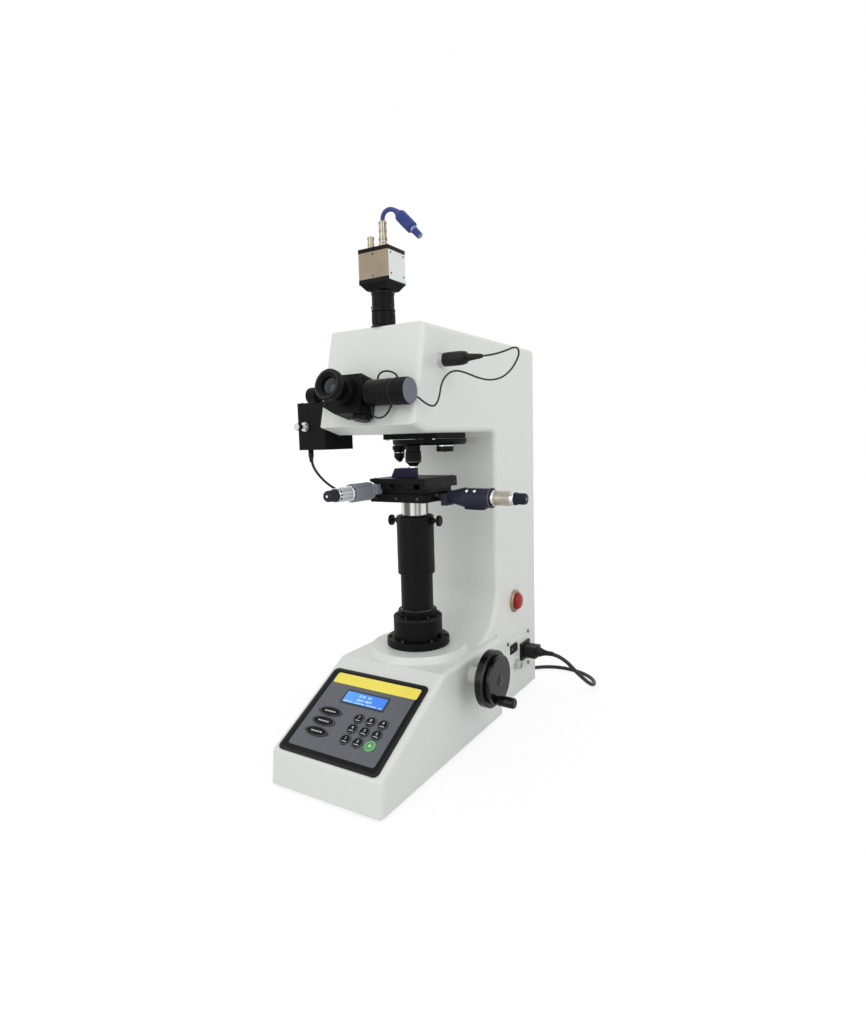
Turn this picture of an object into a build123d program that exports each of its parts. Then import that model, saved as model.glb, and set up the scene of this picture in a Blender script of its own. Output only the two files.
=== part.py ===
from build123d import *
import math
import os

# Digital hardness tester, modelled in millimetres.
# Frame: origin on the bench, under the axis of the elevating screw and the objective on station.
# +X to the operator's right, +Y towards the back, +Z up.

# ---------------------------------------------------------------- driving dimensions
FOOT_GAP = 3.0            # thickness of the bottom plate that the castings stand on
HEAD_TOP = 633.0
BASE_WIDTH = 190.0
HEAD_WIDTH = 166.0
WALL = 7.0                # wall of the base casting
COLUMN_WALL = 6.0
COVER_WALL = 2.5          # sheet-metal rear cover

# side profile of the base, as (y, z)
BASE_FRONT = -243.5
NOSE_LEAN = 5.0
NOSE_TOP = 51.0
SLOPE_BACK = -81.0
BASE_TOP = 136.5
BASE_BACK = 118.5

# side profile of the column and head
COLUMN_FRONT = 125.0
COLUMN_BACK = 287.0
COLUMN_FILLET = 80.0
CHIN_FRONT = -125.0       # lower edge of the sloping front face
CHIN_Z = 493.5
BROW_FRONT = -90.0        # upper edge of the sloping front face
HEAD_UNDERSIDE = 482.5
UNDERSIDE_FRONT = -86.0

# elevating gear
PAD_RADIUS = 75.0
PAD_FOOT_RADIUS = 80.0
PAD_TOP = 147.3
FLANGE_RADIUS = 50.3
FLANGE_TOP = 159.0
COLLAR_RADIUS = 39.0
COLLAR_TOP = 194.7
SPIGOT_RADIUS = 33.0
SPIGOT_BOTTOM = 131.2
NUT_RADIUS = 22.0
TUBE_FLANGE = 27.0        # flange radius of the guide tube and of the lifting nut
THRUST_Z = 174.0          # shoulder that carries the lifting nut
NUT_FLANGE_Z = 177.0
NUT_TOP = 185.7
RING_RADIUS = 31.0
RING_TOP = 204.0
TUBE_RADIUS = 25.6
TUBE_TOP = 276.0
SPINDLE_RADIUS = 21.3
SCREW_RADIUS = 14.0
SLEEVE_RADIUS = 29.5
SLEEVE_BORE = 26.1
SLEEVE_BOTTOM = 262.5
SLEEVE_TOP = 355.0
SLEEVE_CAP = 18.0         # thick upper end that the thumbscrews clamp through
RUNNING_FIT = 0.05        # radial clearance of shafts in their bores
SLIP = 0.3                # gap between surfaces that pass each other

# bevel drive
WHEEL_Z = 109.4
GEAR_TEETH = 24
PINION_TEETH = 12
GEAR_PITCH_RADIUS = 30.0
PINION_PITCH_RADIUS = GEAR_PITCH_RADIUS * PINION_TEETH / GEAR_TEETH
TOOTH_FACE = 9.0          # face width along the pitch cone
ADDENDUM = 0.8            # in modules
DEDENDUM = 1.1
TOOTH_SHARE = 0.40        # share of the pitch that a tooth takes, the rest is space and backlash
WHEEL_RADIUS = 43.4
WHEEL_FACE_RADIUS = 37.0
WHEEL_BACK = 122.9
WHEEL_FRONT = 145.2
CRANK_PLACE = (-13.3, -26.0)   # crank handle from the wheel's centre, as (y, z)
CRANK_RADIUS = 8.0
CRANK_LENGTH = 30.0
SHAFT_RADIUS = 8.0
BUSH_RADIUS = 10.0

# cross slide stage
STAGE_HALF = 50.0
STAGE_BOTTOM = 379.0
BASE_PLATE_TOP = 391.0
MID_PLATE_TOP = 399.0
RIB_TOP = 406.6
TOP_PLATE_BOTTOM = 407.0
STAGE_TOP = 415.0
SKIRT_WIDTH = 9.0
X_SCREW_Z = 385.0
Y_SCREW_X = -50.0
Y_SCREW_Z = 396.0
MICROMETER_ROD = 4.0
THIMBLE_RADIUS = 10.3
THIMBLE_LENGTH = 34.0
CAP_RADIUS = 7.8
MICROMETER_X_END = 137.0  # outer ends of the two micrometer bodies
MICROMETER_Y_END = 97.0
MICROMETER_Y_RADIUS = 14.0
DOVETAIL_MOUTH = 18.0
DOVETAIL_ROOT = 21.5
REST_TOP = 429.0
CAP_LENGTH = 18.0
REST_GAP = 1.5            # between thimble and micrometer body as drawn
LUG_X = (2.0, 10.0)       # lug under the X slide that the X spindle pushes
LUG_Y = (-24.0, -5.0)     # lug under the top plate that the Y spindle pushes

# turret
TURRET_Y = 50.0
STATION_RADIUS = 50.0
MOUNT_BOTTOM = 474.0
TURRET_BOTTOM = 464.0
OBJECTIVE_TIP = 432.0
INDENTER_TIP = 437.0

# eyepiece unit, in the frame of the sloping front face:
# u along X, v up the face from the chin edge, d out of the face
BLOCK_U = (-50.0, 16.0)
BLOCK_V = (10.0, 65.0)
BLOCK_DEPTH = 32.0
EYE_U, EYE_V = -15.5, 40.5
EYE_DEPTH = 68.0
DRUM_V, DRUM_D = 39.4, 22.0
DRUM_RADIUS = 17.7
DRUM_START = 20.0
DRUM_SPLIT = 64.5
DRUM_END = 86.9
GLAND_U = 29.0

# camera on top of the head
CAMERA_X, CAMERA_Y = 4.2, -73.7
CAMERA_TUBE_RADIUS = 16.0
CAMERA_TUBE_TOP = 684.0
CAMERA_HALF_X, CAMERA_HALF_Y = 25.7, 21.8
CAMERA_BOTTOM = 694.0
CAMERA_TOP = 735.0
PORT_TOP = 740.0

# control panel on the base's slope, measured up the slope from its lower edge
PANEL_WIDTH = 170.6
PANEL_FROM, PANEL_TO = 2.7, 152.6
KEY_ROWS = (76.5, 59.3, 41.5)
ROUND_KEY_X = (9.0, 29.7, 50.5)
OVAL_KEY_X = -42.0

# fittings on the right-hand wall of the column, as (y, z)
SOCKET_Y, SOCKET_Z = -48.7, 584.0
STOP_Y, STOP_Z = 193.0, 180.0
PLATE_Y = (151.0, 256.0)
PLATE_Z = (41.0, 116.0)
INLET_Y, INLET_Z = 230.0, 78.0
ROCKER_Y, ROCKER_Z = 181.0, 95.0
FUSE_Y, FUSE_Z = 189.0, 63.0

# cords
ENCODER_CORD = 2.6        # diameters
SENSOR_CORD = 4.0
PIGTAIL = 6.3
MAINS_CORD = 7.0
PORT_Y = -78.7
COIL_PLACE = (-6.0, 349.0)
COIL_RADIUS = 44.5        # middle of the turns
COIL_WIDTH = 21.0
COIL_HEIGHT = 14.0

# loop of the encoder cord round the drum, as (u, v, d) in the frame of the sloping face
ENCODER_LOOP = [(29, 18.7, 22), (29, 9.5, 22), (36, 5, 18), (42, 8, 12.5), (45.5, 15, 8),
                (48.5, 25, 6.7), (50.5, 35, 3), (52.5, 46, 2.4), (54.5, 57, 4.5), (55, 65, 8),
                (51, 69.5, 13), (42.5, 71, 17.5), (33.5, 68.5, 19.5), (27.5, 62, 16.5), (25, 55.5, 8.5),
                (24.3, 46, 2.4), (29, 35.5, 1.6), (38.5, 30, 1.6), (50, 28.6, 1.6), (62, 30.5, 1.6),
                (73, 34.8, 1.8)]
ENCODER_ROUTE = [(84.5, -117.3, 531.2), (91, -112.3, 523.5), (95.5, -103.5, 518), (98, -93.5, 517.5),
                 (99, -86, 525), (99.5, -81.5, 535.5), (100, -78.5, 547), (102, -72, 557.5),
                 (105, -61.5, 565), (110, -50, 567.5), (117, -36.5, 564.5), (126, -22, 558.5),
                 (138, -8, 554.5), (151, 4, 557.5), (163, 8.5, 566.5), (173, 7.5, 578.5),
                 (180.5, 2.5, 589), (182.5, -7, 596.5), (180, -19, 595.5), (176, -33, 590),
                 (163, -48.7, 584), (148, -48.7, 584)]
SENSOR_ROUTE = [(-127, -94, 455.5), (-127, -94, 441), (-122.5, -87, 424.5), (-113, -78, 409.5), (-101, -69, 398.5),
                (-92, -55, 390.5), (-86, -38, 386.5), (-76, -20, 385), (-61, -20, 385)]
MAINS_ROUTE = [(128, 230, 78), (146, 230, 78), (165, 235, 67), (178, 245, 48), (189, 258, 31), (196, 275, 16),
               (197, 297, 6.5), (190, 322, 3.7), (172, 343, 3.7), (146, 357, 3.7), (116, 363, 3.7),
               (89, 357.5, 3.7), (68, 343.5, 3.7), (54.3, 328.4, 3.7), (37.6, 309.8, 3.7)]
PIGTAIL_ROUTE = [(11.3, 778), (11.3, 785), (17.5, 791), (27, 791.3), (34.4, 786.8), (39, 782)]
CLAMP_U, CLAMP_D = 7.0, 15.0
MAINS_PLUG_PLACE = (-63.5, 312.0, 12.0)

# interface box on the left of the head, as (low, high)
BOX_X = (-137.0, -83.0)
BOX_Y = (-110.0, -44.0)
BOX_Z = (461.5, 532.0)

HEAD_HALF = HEAD_WIDTH / 2
BASE_HALF = BASE_WIDTH / 2
FACE_LEAN = math.atan((BROW_FRONT - CHIN_FRONT) / (HEAD_TOP - CHIN_Z))
FACE = Plane(origin=(0, CHIN_FRONT, CHIN_Z), x_dir=(1, 0, 0),
             z_dir=(0, -math.cos(FACE_LEAN), math.sin(FACE_LEAN)))


# ---------------------------------------------------------------- helpers
def block(x0, x1, y0, y1, z0, z1):
    return Pos((x0 + x1) / 2, (y0 + y1) / 2, (z0 + z1) / 2) * Box(x1 - x0, y1 - y0, z1 - z0)


def turned(profile, place=Location()):
    """Solid of revolution about +Z from (radius, height) points, then placed."""
    face = Plane.XZ * make_face(Polyline(*profile, close=True))
    return place * revolve(face, Axis.Z)


def rod(radius, z0, z1, place=Location()):
    return place * Pos(0, 0, (z0 + z1) / 2) * Cylinder(radius, z1 - z0)


def side_extrusion(profile, half_width):
    """Prism along X from (y, z) points, centred on X = 0."""
    face = Plane.YZ * make_face(Polyline(*profile, close=True))
    return extrude(face, amount=half_width, both=True)


def along_x(x, y, z):
    """Location whose +Z points along the row's +X."""
    return Pos(x, y, z) * Rot(0, 90, 0)


def towards_front(x, y, z):
    """Location whose +Z points along the row's -Y."""
    return Pos(x, y, z) * Rot(90, 0, 0)


def front_face(u, v, d=0.0):
    """Location on the head's sloping face whose +Z points out of the face."""
    return Location(FACE) * Pos(u, v, d)


def polar(radius, angle):
    return radius * math.cos(math.radians(angle)), radius * math.sin(math.radians(angle))


def cap_screw(place, radius=2.75, height=3.0):
    """Head of a hexagon socket screw standing on the placed XY plane."""
    socket = place * extrude(Pos(0, 0, height - 1.8) * RegularPolygon(radius * 0.5, 6), amount=3)
    return rod(radius, 0, height, place) - socket


def group(solids):
    return Compound(children=list(solids))


# ---------------------------------------------------------------- castings
def base_casting():
    outline = [(BASE_FRONT, FOOT_GAP), (BASE_FRONT + NOSE_LEAN, NOSE_TOP), (SLOPE_BACK, BASE_TOP),
               (BASE_BACK, BASE_TOP), (BASE_BACK, FOOT_GAP)]
    body = side_extrusion(outline, BASE_HALF)
    rear_corners = [e for e in body.edges().filter_by(Axis.Z) if e.center().Y > BASE_BACK - 1]
    body = fillet(rear_corners, 11)
    body = fillet([e for e in body.edges() if e.center().Z > FOOT_GAP + 1
                   and not (abs(e.center().X) < 1 and e.center().Z > BASE_TOP - 1)
                   and e.geom_type == GeomType.LINE
                   and not (e.center().Y > BASE_BACK - 13)], 8)
    body -= side_extrusion([(BASE_FRONT + WALL, FOOT_GAP - 1), (BASE_FRONT + NOSE_LEAN + WALL, NOSE_TOP - 4),
                            (SLOPE_BACK + 2, BASE_TOP - WALL), (BASE_BACK - WALL, BASE_TOP - WALL),
                            (BASE_BACK - WALL, FOOT_GAP - 1)], BASE_HALF - WALL)
    # raised round pad under the gear housing
    body += turned([(0, BASE_TOP - WALL), (PAD_FOOT_RADIUS, BASE_TOP - WALL), (PAD_FOOT_RADIUS, BASE_TOP),
                    (PAD_RADIUS, PAD_TOP), (0, PAD_TOP)])
    body -= rod(SPIGOT_RADIUS + SLIP, BASE_TOP - 2 * WALL, PAD_TOP + 1)
    # bearing hanger and wall boss of the handwheel shaft
    body += block(42, 56, -13, 13, WHEEL_Z - 13, BASE_TOP - WALL + 1)
    body += rod(12, BASE_HALF - WALL - 1, BASE_HALF + 12, along_x(0, 0, WHEEL_Z))
    body -= rod(BUSH_RADIUS, 40, BASE_HALF + 13, along_x(0, 0, WHEEL_Z))
    # posts for the bottom plate's screws
    for x in (-82, 82):
        for y in (BASE_FRONT + 40, BASE_BACK - 30):
            body += rod(9, FOOT_GAP, 36, Pos(x, y, 0)) - rod(3, 0, 30, Pos(x, y, 0))
    return body


def column_outline(inset=0.0):
    """Face of the C-frame in the Y-Z plane; inset moves the front walls inwards for the hollow."""
    if inset:
        return make_face(Polyline((COLUMN_FRONT + inset, FOOT_GAP - 1),
                                  (COLUMN_FRONT + inset, HEAD_UNDERSIDE + inset),
                                  (UNDERSIDE_FRONT, HEAD_UNDERSIDE + inset),
                                  (CHIN_FRONT + inset + 2, CHIN_Z + inset),
                                  (BROW_FRONT + inset, HEAD_TOP - inset),
                                  (COLUMN_BACK + 1, HEAD_TOP - inset),
                                  (COLUMN_BACK + 1, FOOT_GAP - 1), close=True))
    toe = (COLUMN_FRONT - COLUMN_FILLET, BASE_TOP)
    top_of_arc = (COLUMN_FRONT, BASE_TOP + COLUMN_FILLET)
    half = COLUMN_FILLET * math.sqrt(0.5)
    mid_arc = (toe[0] + half, BASE_TOP + COLUMN_FILLET - half)
    return make_face(Polyline((BASE_BACK, FOOT_GAP), (BASE_BACK, BASE_TOP), toe)
                     + ThreePointArc(toe, mid_arc, top_of_arc)
                     + Polyline(top_of_arc, (COLUMN_FRONT, HEAD_UNDERSIDE), (UNDERSIDE_FRONT, HEAD_UNDERSIDE),
                                (CHIN_FRONT, CHIN_Z), (BROW_FRONT, HEAD_TOP), (COLUMN_BACK, HEAD_TOP),
                                (COLUMN_BACK, FOOT_GAP), (BASE_BACK, FOOT_GAP)))


def column_casting():
    body = extrude(Plane.YZ * column_outline(), amount=HEAD_HALF, both=True)
    inner_corner = [e for e in body.edges().filter_by(Axis.X)
                    if abs(e.center().Y - COLUMN_FRONT) < 1 and abs(e.center().Z - HEAD_UNDERSIDE) < 1]
    body = fillet(inner_corner, 12)
    side_edges = [e for e in body.edges() if abs(abs(e.center().X) - HEAD_HALF) < 1
                  and e.center().Z > BASE_TOP + 1 and e.center().Y < COLUMN_BACK - 1]
    body = fillet(side_edges, 8)
    body -= extrude(Plane.YZ * column_outline(COLUMN_WALL), amount=HEAD_HALF - COLUMN_WALL, both=True)
    body -= rod(PAD_FOOT_RADIUS + SLIP, BASE_TOP - 1, 300)
    # passages for the camera tube, the eyepiece's light path and the socket's tail
    body -= rod(CAMERA_TUBE_RADIUS - 3, HEAD_TOP - 2 * COLUMN_WALL, HEAD_TOP + 1, Pos(CAMERA_X, CAMERA_Y, 0))
    body -= rod(9, -2 * COLUMN_WALL, 1, front_face(EYE_U, EYE_V))
    body -= rod(14, HEAD_UNDERSIDE - 1, HEAD_UNDERSIDE + 2 * COLUMN_WALL, Pos(0, TURRET_Y - STATION_RADIUS, 0))
    body -= rod(6, HEAD_HALF - 2 * COLUMN_WALL, HEAD_HALF + 1, along_x(0, SOCKET_Y, SOCKET_Z))
    body -= rod(8, HEAD_HALF - 2 * COLUMN_WALL, HEAD_HALF + 1, along_x(0, STOP_Y, STOP_Z))
    body -= block(HEAD_HALF - 2 * COLUMN_WALL, HEAD_HALF + 1, PLATE_Y[0] + 12, PLATE_Y[1] - 6,
                  PLATE_Z[0] + 13, PLATE_Z[1] - 9)
    # rebate for the rear cover
    body -= block(-HEAD_HALF + 3, HEAD_HALF - 3, COLUMN_BACK - COVER_WALL, COLUMN_BACK + 1,
                  FOOT_GAP + 2, HEAD_TOP - 3)
    return body


def rear_cover():
    sheet = block(-HEAD_HALF + 3.3, HEAD_HALF - 3.3, COLUMN_BACK - COVER_WALL, COLUMN_BACK,
                  FOOT_GAP + 2.3, HEAD_TOP - 3.3)
    for row in range(6):
        for side in (-1, 1):
            slot = SlotOverall(44, 4)
            place = Location((side * 32, COLUMN_BACK + 1, 520 - row * 10), (90, 0, 0))
            sheet -= extrude(place * slot, amount=5, both=True)
    return sheet


def bottom_plate():
    sheet = block(-BASE_HALF + 5, BASE_HALF - 5, BASE_FRONT + 5, BASE_BACK, 0, FOOT_GAP)
    sheet += block(-HEAD_HALF + 5, HEAD_HALF - 5, BASE_BACK - 1, COLUMN_BACK - 5, 0, FOOT_GAP)
    return sheet


# ---------------------------------------------------------------- control panel
def slope_frame(x, up, height=0.0):
    """Location on the base's slope: +X right, +Y up the slope, +Z out of it."""
    run, rise = SLOPE_BACK - BASE_FRONT - NOSE_LEAN, BASE_TOP - NOSE_TOP
    length = math.hypot(run, rise)
    origin = (x, BASE_FRONT + NOSE_LEAN + run * up / length, NOSE_TOP + rise * up / length)
    return Location(Plane(origin=origin, x_dir=(1, 0, 0), z_dir=(0, -rise, run))) * Pos(0, 0, height)


def panel_bezel():
    middle, length = (PANEL_FROM + PANEL_TO) / 2, PANEL_TO - PANEL_FROM
    frame = extrude(slope_frame(0, middle) * RectangleRounded(PANEL_WIDTH, length, 8), amount=1.6)
    frame -= extrude(slope_frame(0, middle, 1.0) * RectangleRounded(PANEL_WIDTH - 9, length - 9, 5), amount=1)
    return frame


def membrane_keypad():
    middle, length = (PANEL_FROM + PANEL_TO) / 2, PANEL_TO - PANEL_FROM
    sheet = extrude(slope_frame(0, middle, 1.0) * RectangleRounded(PANEL_WIDTH - 9, length - 9, 5), amount=0.4)
    sheet += extrude(slope_frame(2, 135.5, 1.4) * RectangleRounded(150, 18, 2), amount=0.2)
    sheet += extrude(slope_frame(0, 107, 1.4) * RectangleRounded(76, 23.5, 1), amount=0.2)
    for up in KEY_ROWS:
        sheet += extrude(slope_frame(OVAL_KEY_X, up, 1.4) * SlotOverall(24, 11), amount=0.3)
        for x in ROUND_KEY_X:
            sheet += extrude(slope_frame(x, up, 1.4) * Circle(6.3), amount=0.3)
    return sheet


# ---------------------------------------------------------------- elevating gear
def gear_housing():
    body = turned([(NUT_RADIUS + RUNNING_FIT, SPIGOT_BOTTOM), (SPIGOT_RADIUS, SPIGOT_BOTTOM),
                   (SPIGOT_RADIUS, PAD_TOP), (FLANGE_RADIUS - 1, PAD_TOP), (FLANGE_RADIUS, PAD_TOP + 1),
                   (FLANGE_RADIUS, FLANGE_TOP - 1), (FLANGE_RADIUS - 1, FLANGE_TOP),
                   (COLLAR_RADIUS, FLANGE_TOP), (COLLAR_RADIUS, COLLAR_TOP - 1.5),
                   (COLLAR_RADIUS - 1.5, COLLAR_TOP), (TUBE_FLANGE + 0.1, COLLAR_TOP),
                   (TUBE_FLANGE + 0.1, THRUST_Z), (NUT_RADIUS + RUNNING_FIT, THRUST_Z)])
    # inspection notch at the foot of the collar
    notch = block(COLLAR_RADIUS - 5, COLLAR_RADIUS + 2, -5, 5, FLANGE_TOP, FLANGE_TOP + 8)
    return body - notch


def gear_screws():
    solids = []
    for i in range(6):
        x, y = polar(44.7, 30 + 60 * i)
        solids.append(cap_screw(Pos(x, y, FLANGE_TOP), 2.75, 3.0))
    for i in range(6):
        x, y = polar(34.4, 30 + 60 * i)
        solids.append(cap_screw(Pos(x, y, COLLAR_TOP), 2.0, 2.2))
    return solids


def lock_ring():
    ring = turned([(TUBE_RADIUS + 0.1, COLLAR_TOP), (RING_RADIUS, COLLAR_TOP), (RING_RADIUS, COLLAR_TOP + 4),
                   (RING_RADIUS - 1, COLLAR_TOP + 4.5), (RING_RADIUS, COLLAR_TOP + 5),
                   (RING_RADIUS, RING_TOP - 1), (RING_RADIUS - 1, RING_TOP), (TUBE_RADIUS + 0.1, RING_TOP)])
    for i in range(6):
        x, y = polar(RING_RADIUS, 60 * i + 15)
        ring -= rod(2.2, COLLAR_TOP + 5, RING_TOP + 1, Pos(x, y, 0))
    return ring


def guide_tube():
    bore = SPINDLE_RADIUS + RUNNING_FIT
    return turned([(bore, NUT_TOP + SLIP), (TUBE_FLANGE, NUT_TOP + SLIP), (TUBE_FLANGE, COLLAR_TOP),
                   (TUBE_RADIUS, COLLAR_TOP), (TUBE_RADIUS, TUBE_TOP - 1), (TUBE_RADIUS - 1, TUBE_TOP),
                   (bore + 1, TUBE_TOP), (bore, TUBE_TOP - 1)])


def bushes():
    thrust = turned([(NUT_RADIUS + SLIP, THRUST_Z), (TUBE_FLANGE, THRUST_Z), (TUBE_FLANGE, NUT_FLANGE_Z),
                     (NUT_RADIUS + SLIP, NUT_FLANGE_Z)])
    bore = SHAFT_RADIUS + RUNNING_FIT
    inner = turned([(bore, 41), (BUSH_RADIUS, 41), (BUSH_RADIUS, 56), (13, 56), (13, 59), (bore, 59)],
                   along_x(0, 0, WHEEL_Z))
    outer = turned([(bore, BASE_HALF - WALL), (BUSH_RADIUS, BASE_HALF - WALL), (BUSH_RADIUS, BASE_HALF + 12),
                    (12, BASE_HALF + 12), (12, BASE_HALF + 14), (bore, BASE_HALF + 14)],
                   along_x(0, 0, WHEEL_Z))
    return group([thrust, inner, outer])


def bevel_teeth(count, pitch_radius, cone_angle, phase):
    """Straight teeth on a pitch cone whose apex is at the origin and whose axis is +Z."""
    outer = pitch_radius / math.sin(cone_angle)
    half = TOOTH_SHARE * math.pi * pitch_radius / count
    module = 2 * pitch_radius / count
    tip, root = ADDENDUM * module, -1.1 * DEDENDUM * module
    flank = math.tan(math.radians(20))
    section = [(-half + root * flank, root), (-half + tip * flank, tip),
               (half - tip * flank, tip), (half - root * flank, root)]
    teeth = []
    for i in range(count):
        faces = []
        for distance in (outer - TOOTH_FACE, outer):
            plane = Plane(origin=(distance * math.sin(cone_angle), 0, distance * math.cos(cone_angle)),
                          x_dir=(0, -1, 0), z_dir=(math.sin(cone_angle), 0, math.cos(cone_angle)))
            points = [(x * distance / outer, y * distance / outer) for x, y in section]
            faces.append(plane * make_face(Polyline(*points, close=True)))
        teeth.append(Rot(0, 0, phase + 360 * i / count) * loft(faces))
    return teeth


def bevel_blank(pitch_radius, cone_angle, count, back, bore):
    """Root cone of a bevel gear about +Z with its apex at the origin, up to the back plane."""
    outer = pitch_radius / math.sin(cone_angle)
    root = DEDENDUM * 2 * pitch_radius / count
    points = []
    for distance in (outer - TOOTH_FACE, outer):
        drop = root * distance / outer
        points.append((distance * math.sin(cone_angle) - drop * math.cos(cone_angle),
                       distance * math.cos(cone_angle) + drop * math.sin(cone_angle)))
    (r0, z0), (r1, z1) = points
    return turned([(bore, z0), (r0, z0), (r1, z1), (r1, back), (bore, back)])


def lifting_nut():
    cone = math.atan2(GEAR_PITCH_RADIUS, PINION_PITCH_RADIUS)
    gear = bevel_blank(GEAR_PITCH_RADIUS, cone, GEAR_TEETH, SPIGOT_BOTTOM - WHEEL_Z - 0.7,
                       SCREW_RADIUS + RUNNING_FIT)
    for tooth in bevel_teeth(GEAR_TEETH, GEAR_PITCH_RADIUS, cone, 0):
        gear += tooth
    bore = SCREW_RADIUS + RUNNING_FIT
    low = SPIGOT_BOTTOM - 1.5
    sleeve = turned([(bore, low), (NUT_RADIUS, low), (NUT_RADIUS, NUT_FLANGE_Z), (TUBE_FLANGE, NUT_FLANGE_Z),
                     (TUBE_FLANGE, NUT_TOP), (bore, NUT_TOP)])
    return Pos(0, 0, WHEEL_Z) * gear + sleeve


def handwheel_shaft():
    cone = math.atan2(PINION_PITCH_RADIUS, GEAR_PITCH_RADIUS)
    pinion = bevel_blank(PINION_PITCH_RADIUS, cone, PINION_TEETH, 34, 0)
    for tooth in bevel_teeth(PINION_TEETH, PINION_PITCH_RADIUS, cone, 180 / PINION_TEETH):
        pinion += tooth
    shaft = turned([(0, 30), (11, 30), (11, 40.7), (SHAFT_RADIUS, 40.7), (SHAFT_RADIUS, WHEEL_FRONT - 6),
                    (SHAFT_RADIUS - 1, WHEEL_FRONT - 5), (0, WHEEL_FRONT - 5)])
    return along_x(0, 0, WHEEL_Z) * (pinion + shaft)


def handwheel():
    r, face = WHEEL_RADIUS, WHEEL_FACE_RADIUS
    body = turned([(SHAFT_RADIUS + 0.02, WHEEL_BACK - 10), (14, WHEEL_BACK - 10), (16, WHEEL_BACK),
                   (r - 1, WHEEL_BACK), (r, WHEEL_BACK + 1), (r, WHEEL_FRONT - 10), (r - 1.5, WHEEL_FRONT - 8.5),
                   (face - 1, WHEEL_FRONT - 8), (face - 1, WHEEL_FRONT - 6.5), (face, WHEEL_FRONT - 6),
                   (face, WHEEL_FRONT - 1.5), (face - 1.5, WHEEL_FRONT), (11, WHEEL_FRONT),
                   (11, WHEEL_FRONT - 4), (SHAFT_RADIUS + 0.02, WHEEL_FRONT - 4)],
                  along_x(0, 0, WHEEL_Z))
    pin = turned([(0, WHEEL_FRONT - 8), (3, WHEEL_FRONT - 8), (3, WHEEL_FRONT + CRANK_LENGTH - 4),
                  (5, WHEEL_FRONT + CRANK_LENGTH - 4), (5, WHEEL_FRONT + CRANK_LENGTH - 1.5),
                  (0, WHEEL_FRONT + CRANK_LENGTH - 1.5)], crank_axis())
    return body + pin


def crank_axis():
    return along_x(0, CRANK_PLACE[0], WHEEL_Z + CRANK_PLACE[1])


def crank_handle():
    low, high, r = WHEEL_FRONT + 0.5, WHEEL_FRONT + CRANK_LENGTH, CRANK_RADIUS
    return turned([(3 + RUNNING_FIT, low), (r - 2, low), (r - 1, low + 4), (r, low + 14), (r, high - 3),
                   (r - 0.9, high - 0.9), (r - 2, high), (5.3, high), (5.3, high - 4.3),
                   (3 + RUNNING_FIT, high - 4.3)], crank_axis())


def lifting_screw():
    shoulder = TUBE_TOP - 30
    return turned([(0, 78), (SCREW_RADIUS - 2, 78), (SCREW_RADIUS, 80), (SCREW_RADIUS, shoulder),
                   (SPINDLE_RADIUS, shoulder), (SPINDLE_RADIUS, STAGE_BOTTOM), (0, STAGE_BOTTOM)])


def thumbscrew_axis(side):
    return Pos(0, 0, SLEEVE_TOP - 9) * Rot(0, 0, 10 if side > 0 else 190) * Rot(0, 90, 0)


def guard_sleeve():
    inner, top_bore = SLEEVE_BORE, SPINDLE_RADIUS + RUNNING_FIT
    body = turned([(inner, SLEEVE_BOTTOM), (SLEEVE_RADIUS - 0.5, SLEEVE_BOTTOM),
                   (SLEEVE_RADIUS, SLEEVE_BOTTOM + 0.5), (SLEEVE_RADIUS, SLEEVE_TOP - 1.5),
                   (SLEEVE_RADIUS - 1.5, SLEEVE_TOP), (top_bore, SLEEVE_TOP),
                   (top_bore, SLEEVE_TOP - SLEEVE_CAP), (inner, SLEEVE_TOP - SLEEVE_CAP)])
    for side in (-1, 1):
        body -= rod(3 + RUNNING_FIT, SPINDLE_RADIUS - 3, SLEEVE_RADIUS + 2, thumbscrew_axis(side))
    return body


def thumbscrew(side):
    tip = SPINDLE_RADIUS + SLIP
    return turned([(0, tip), (3, tip), (3, 29.9), (5.2, 29.9), (5.2, 32), (3, 32), (3, 38.3), (8.3, 38.3),
                   (8.3, 43.2), (7.5, 43.9), (0, 43.9)], thumbscrew_axis(side))


# ---------------------------------------------------------------- cross slide stage
def stage_base():
    h = STAGE_HALF
    plate = block(-h, h, -h, h, STAGE_BOTTOM, BASE_PLATE_TOP)
    plate = fillet(plate.edges().filter_by(Axis.Z), 3)
    plate = chamfer(plate.faces().sort_by(Axis.Z)[0].edges(), 1)
    channel = [(-DOVETAIL_MOUTH, BASE_PLATE_TOP + 1), (-DOVETAIL_MOUTH, BASE_PLATE_TOP),
               (-DOVETAIL_ROOT, BASE_PLATE_TOP - 6), (DOVETAIL_ROOT, BASE_PLATE_TOP - 6),
               (DOVETAIL_MOUTH, BASE_PLATE_TOP), (DOVETAIL_MOUTH, BASE_PLATE_TOP + 1)]
    plate -= side_extrusion(channel, h + 1)
    plate -= block(LUG_X[0] - 8, LUG_X[1] + 27, -9, 9, STAGE_BOTTOM + 1.7, BASE_PLATE_TOP - 5)
    return plate - rod(MICROMETER_ROD + 0.2, 30, h + 1, along_x(0, 0, X_SCREW_Z))


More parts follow.
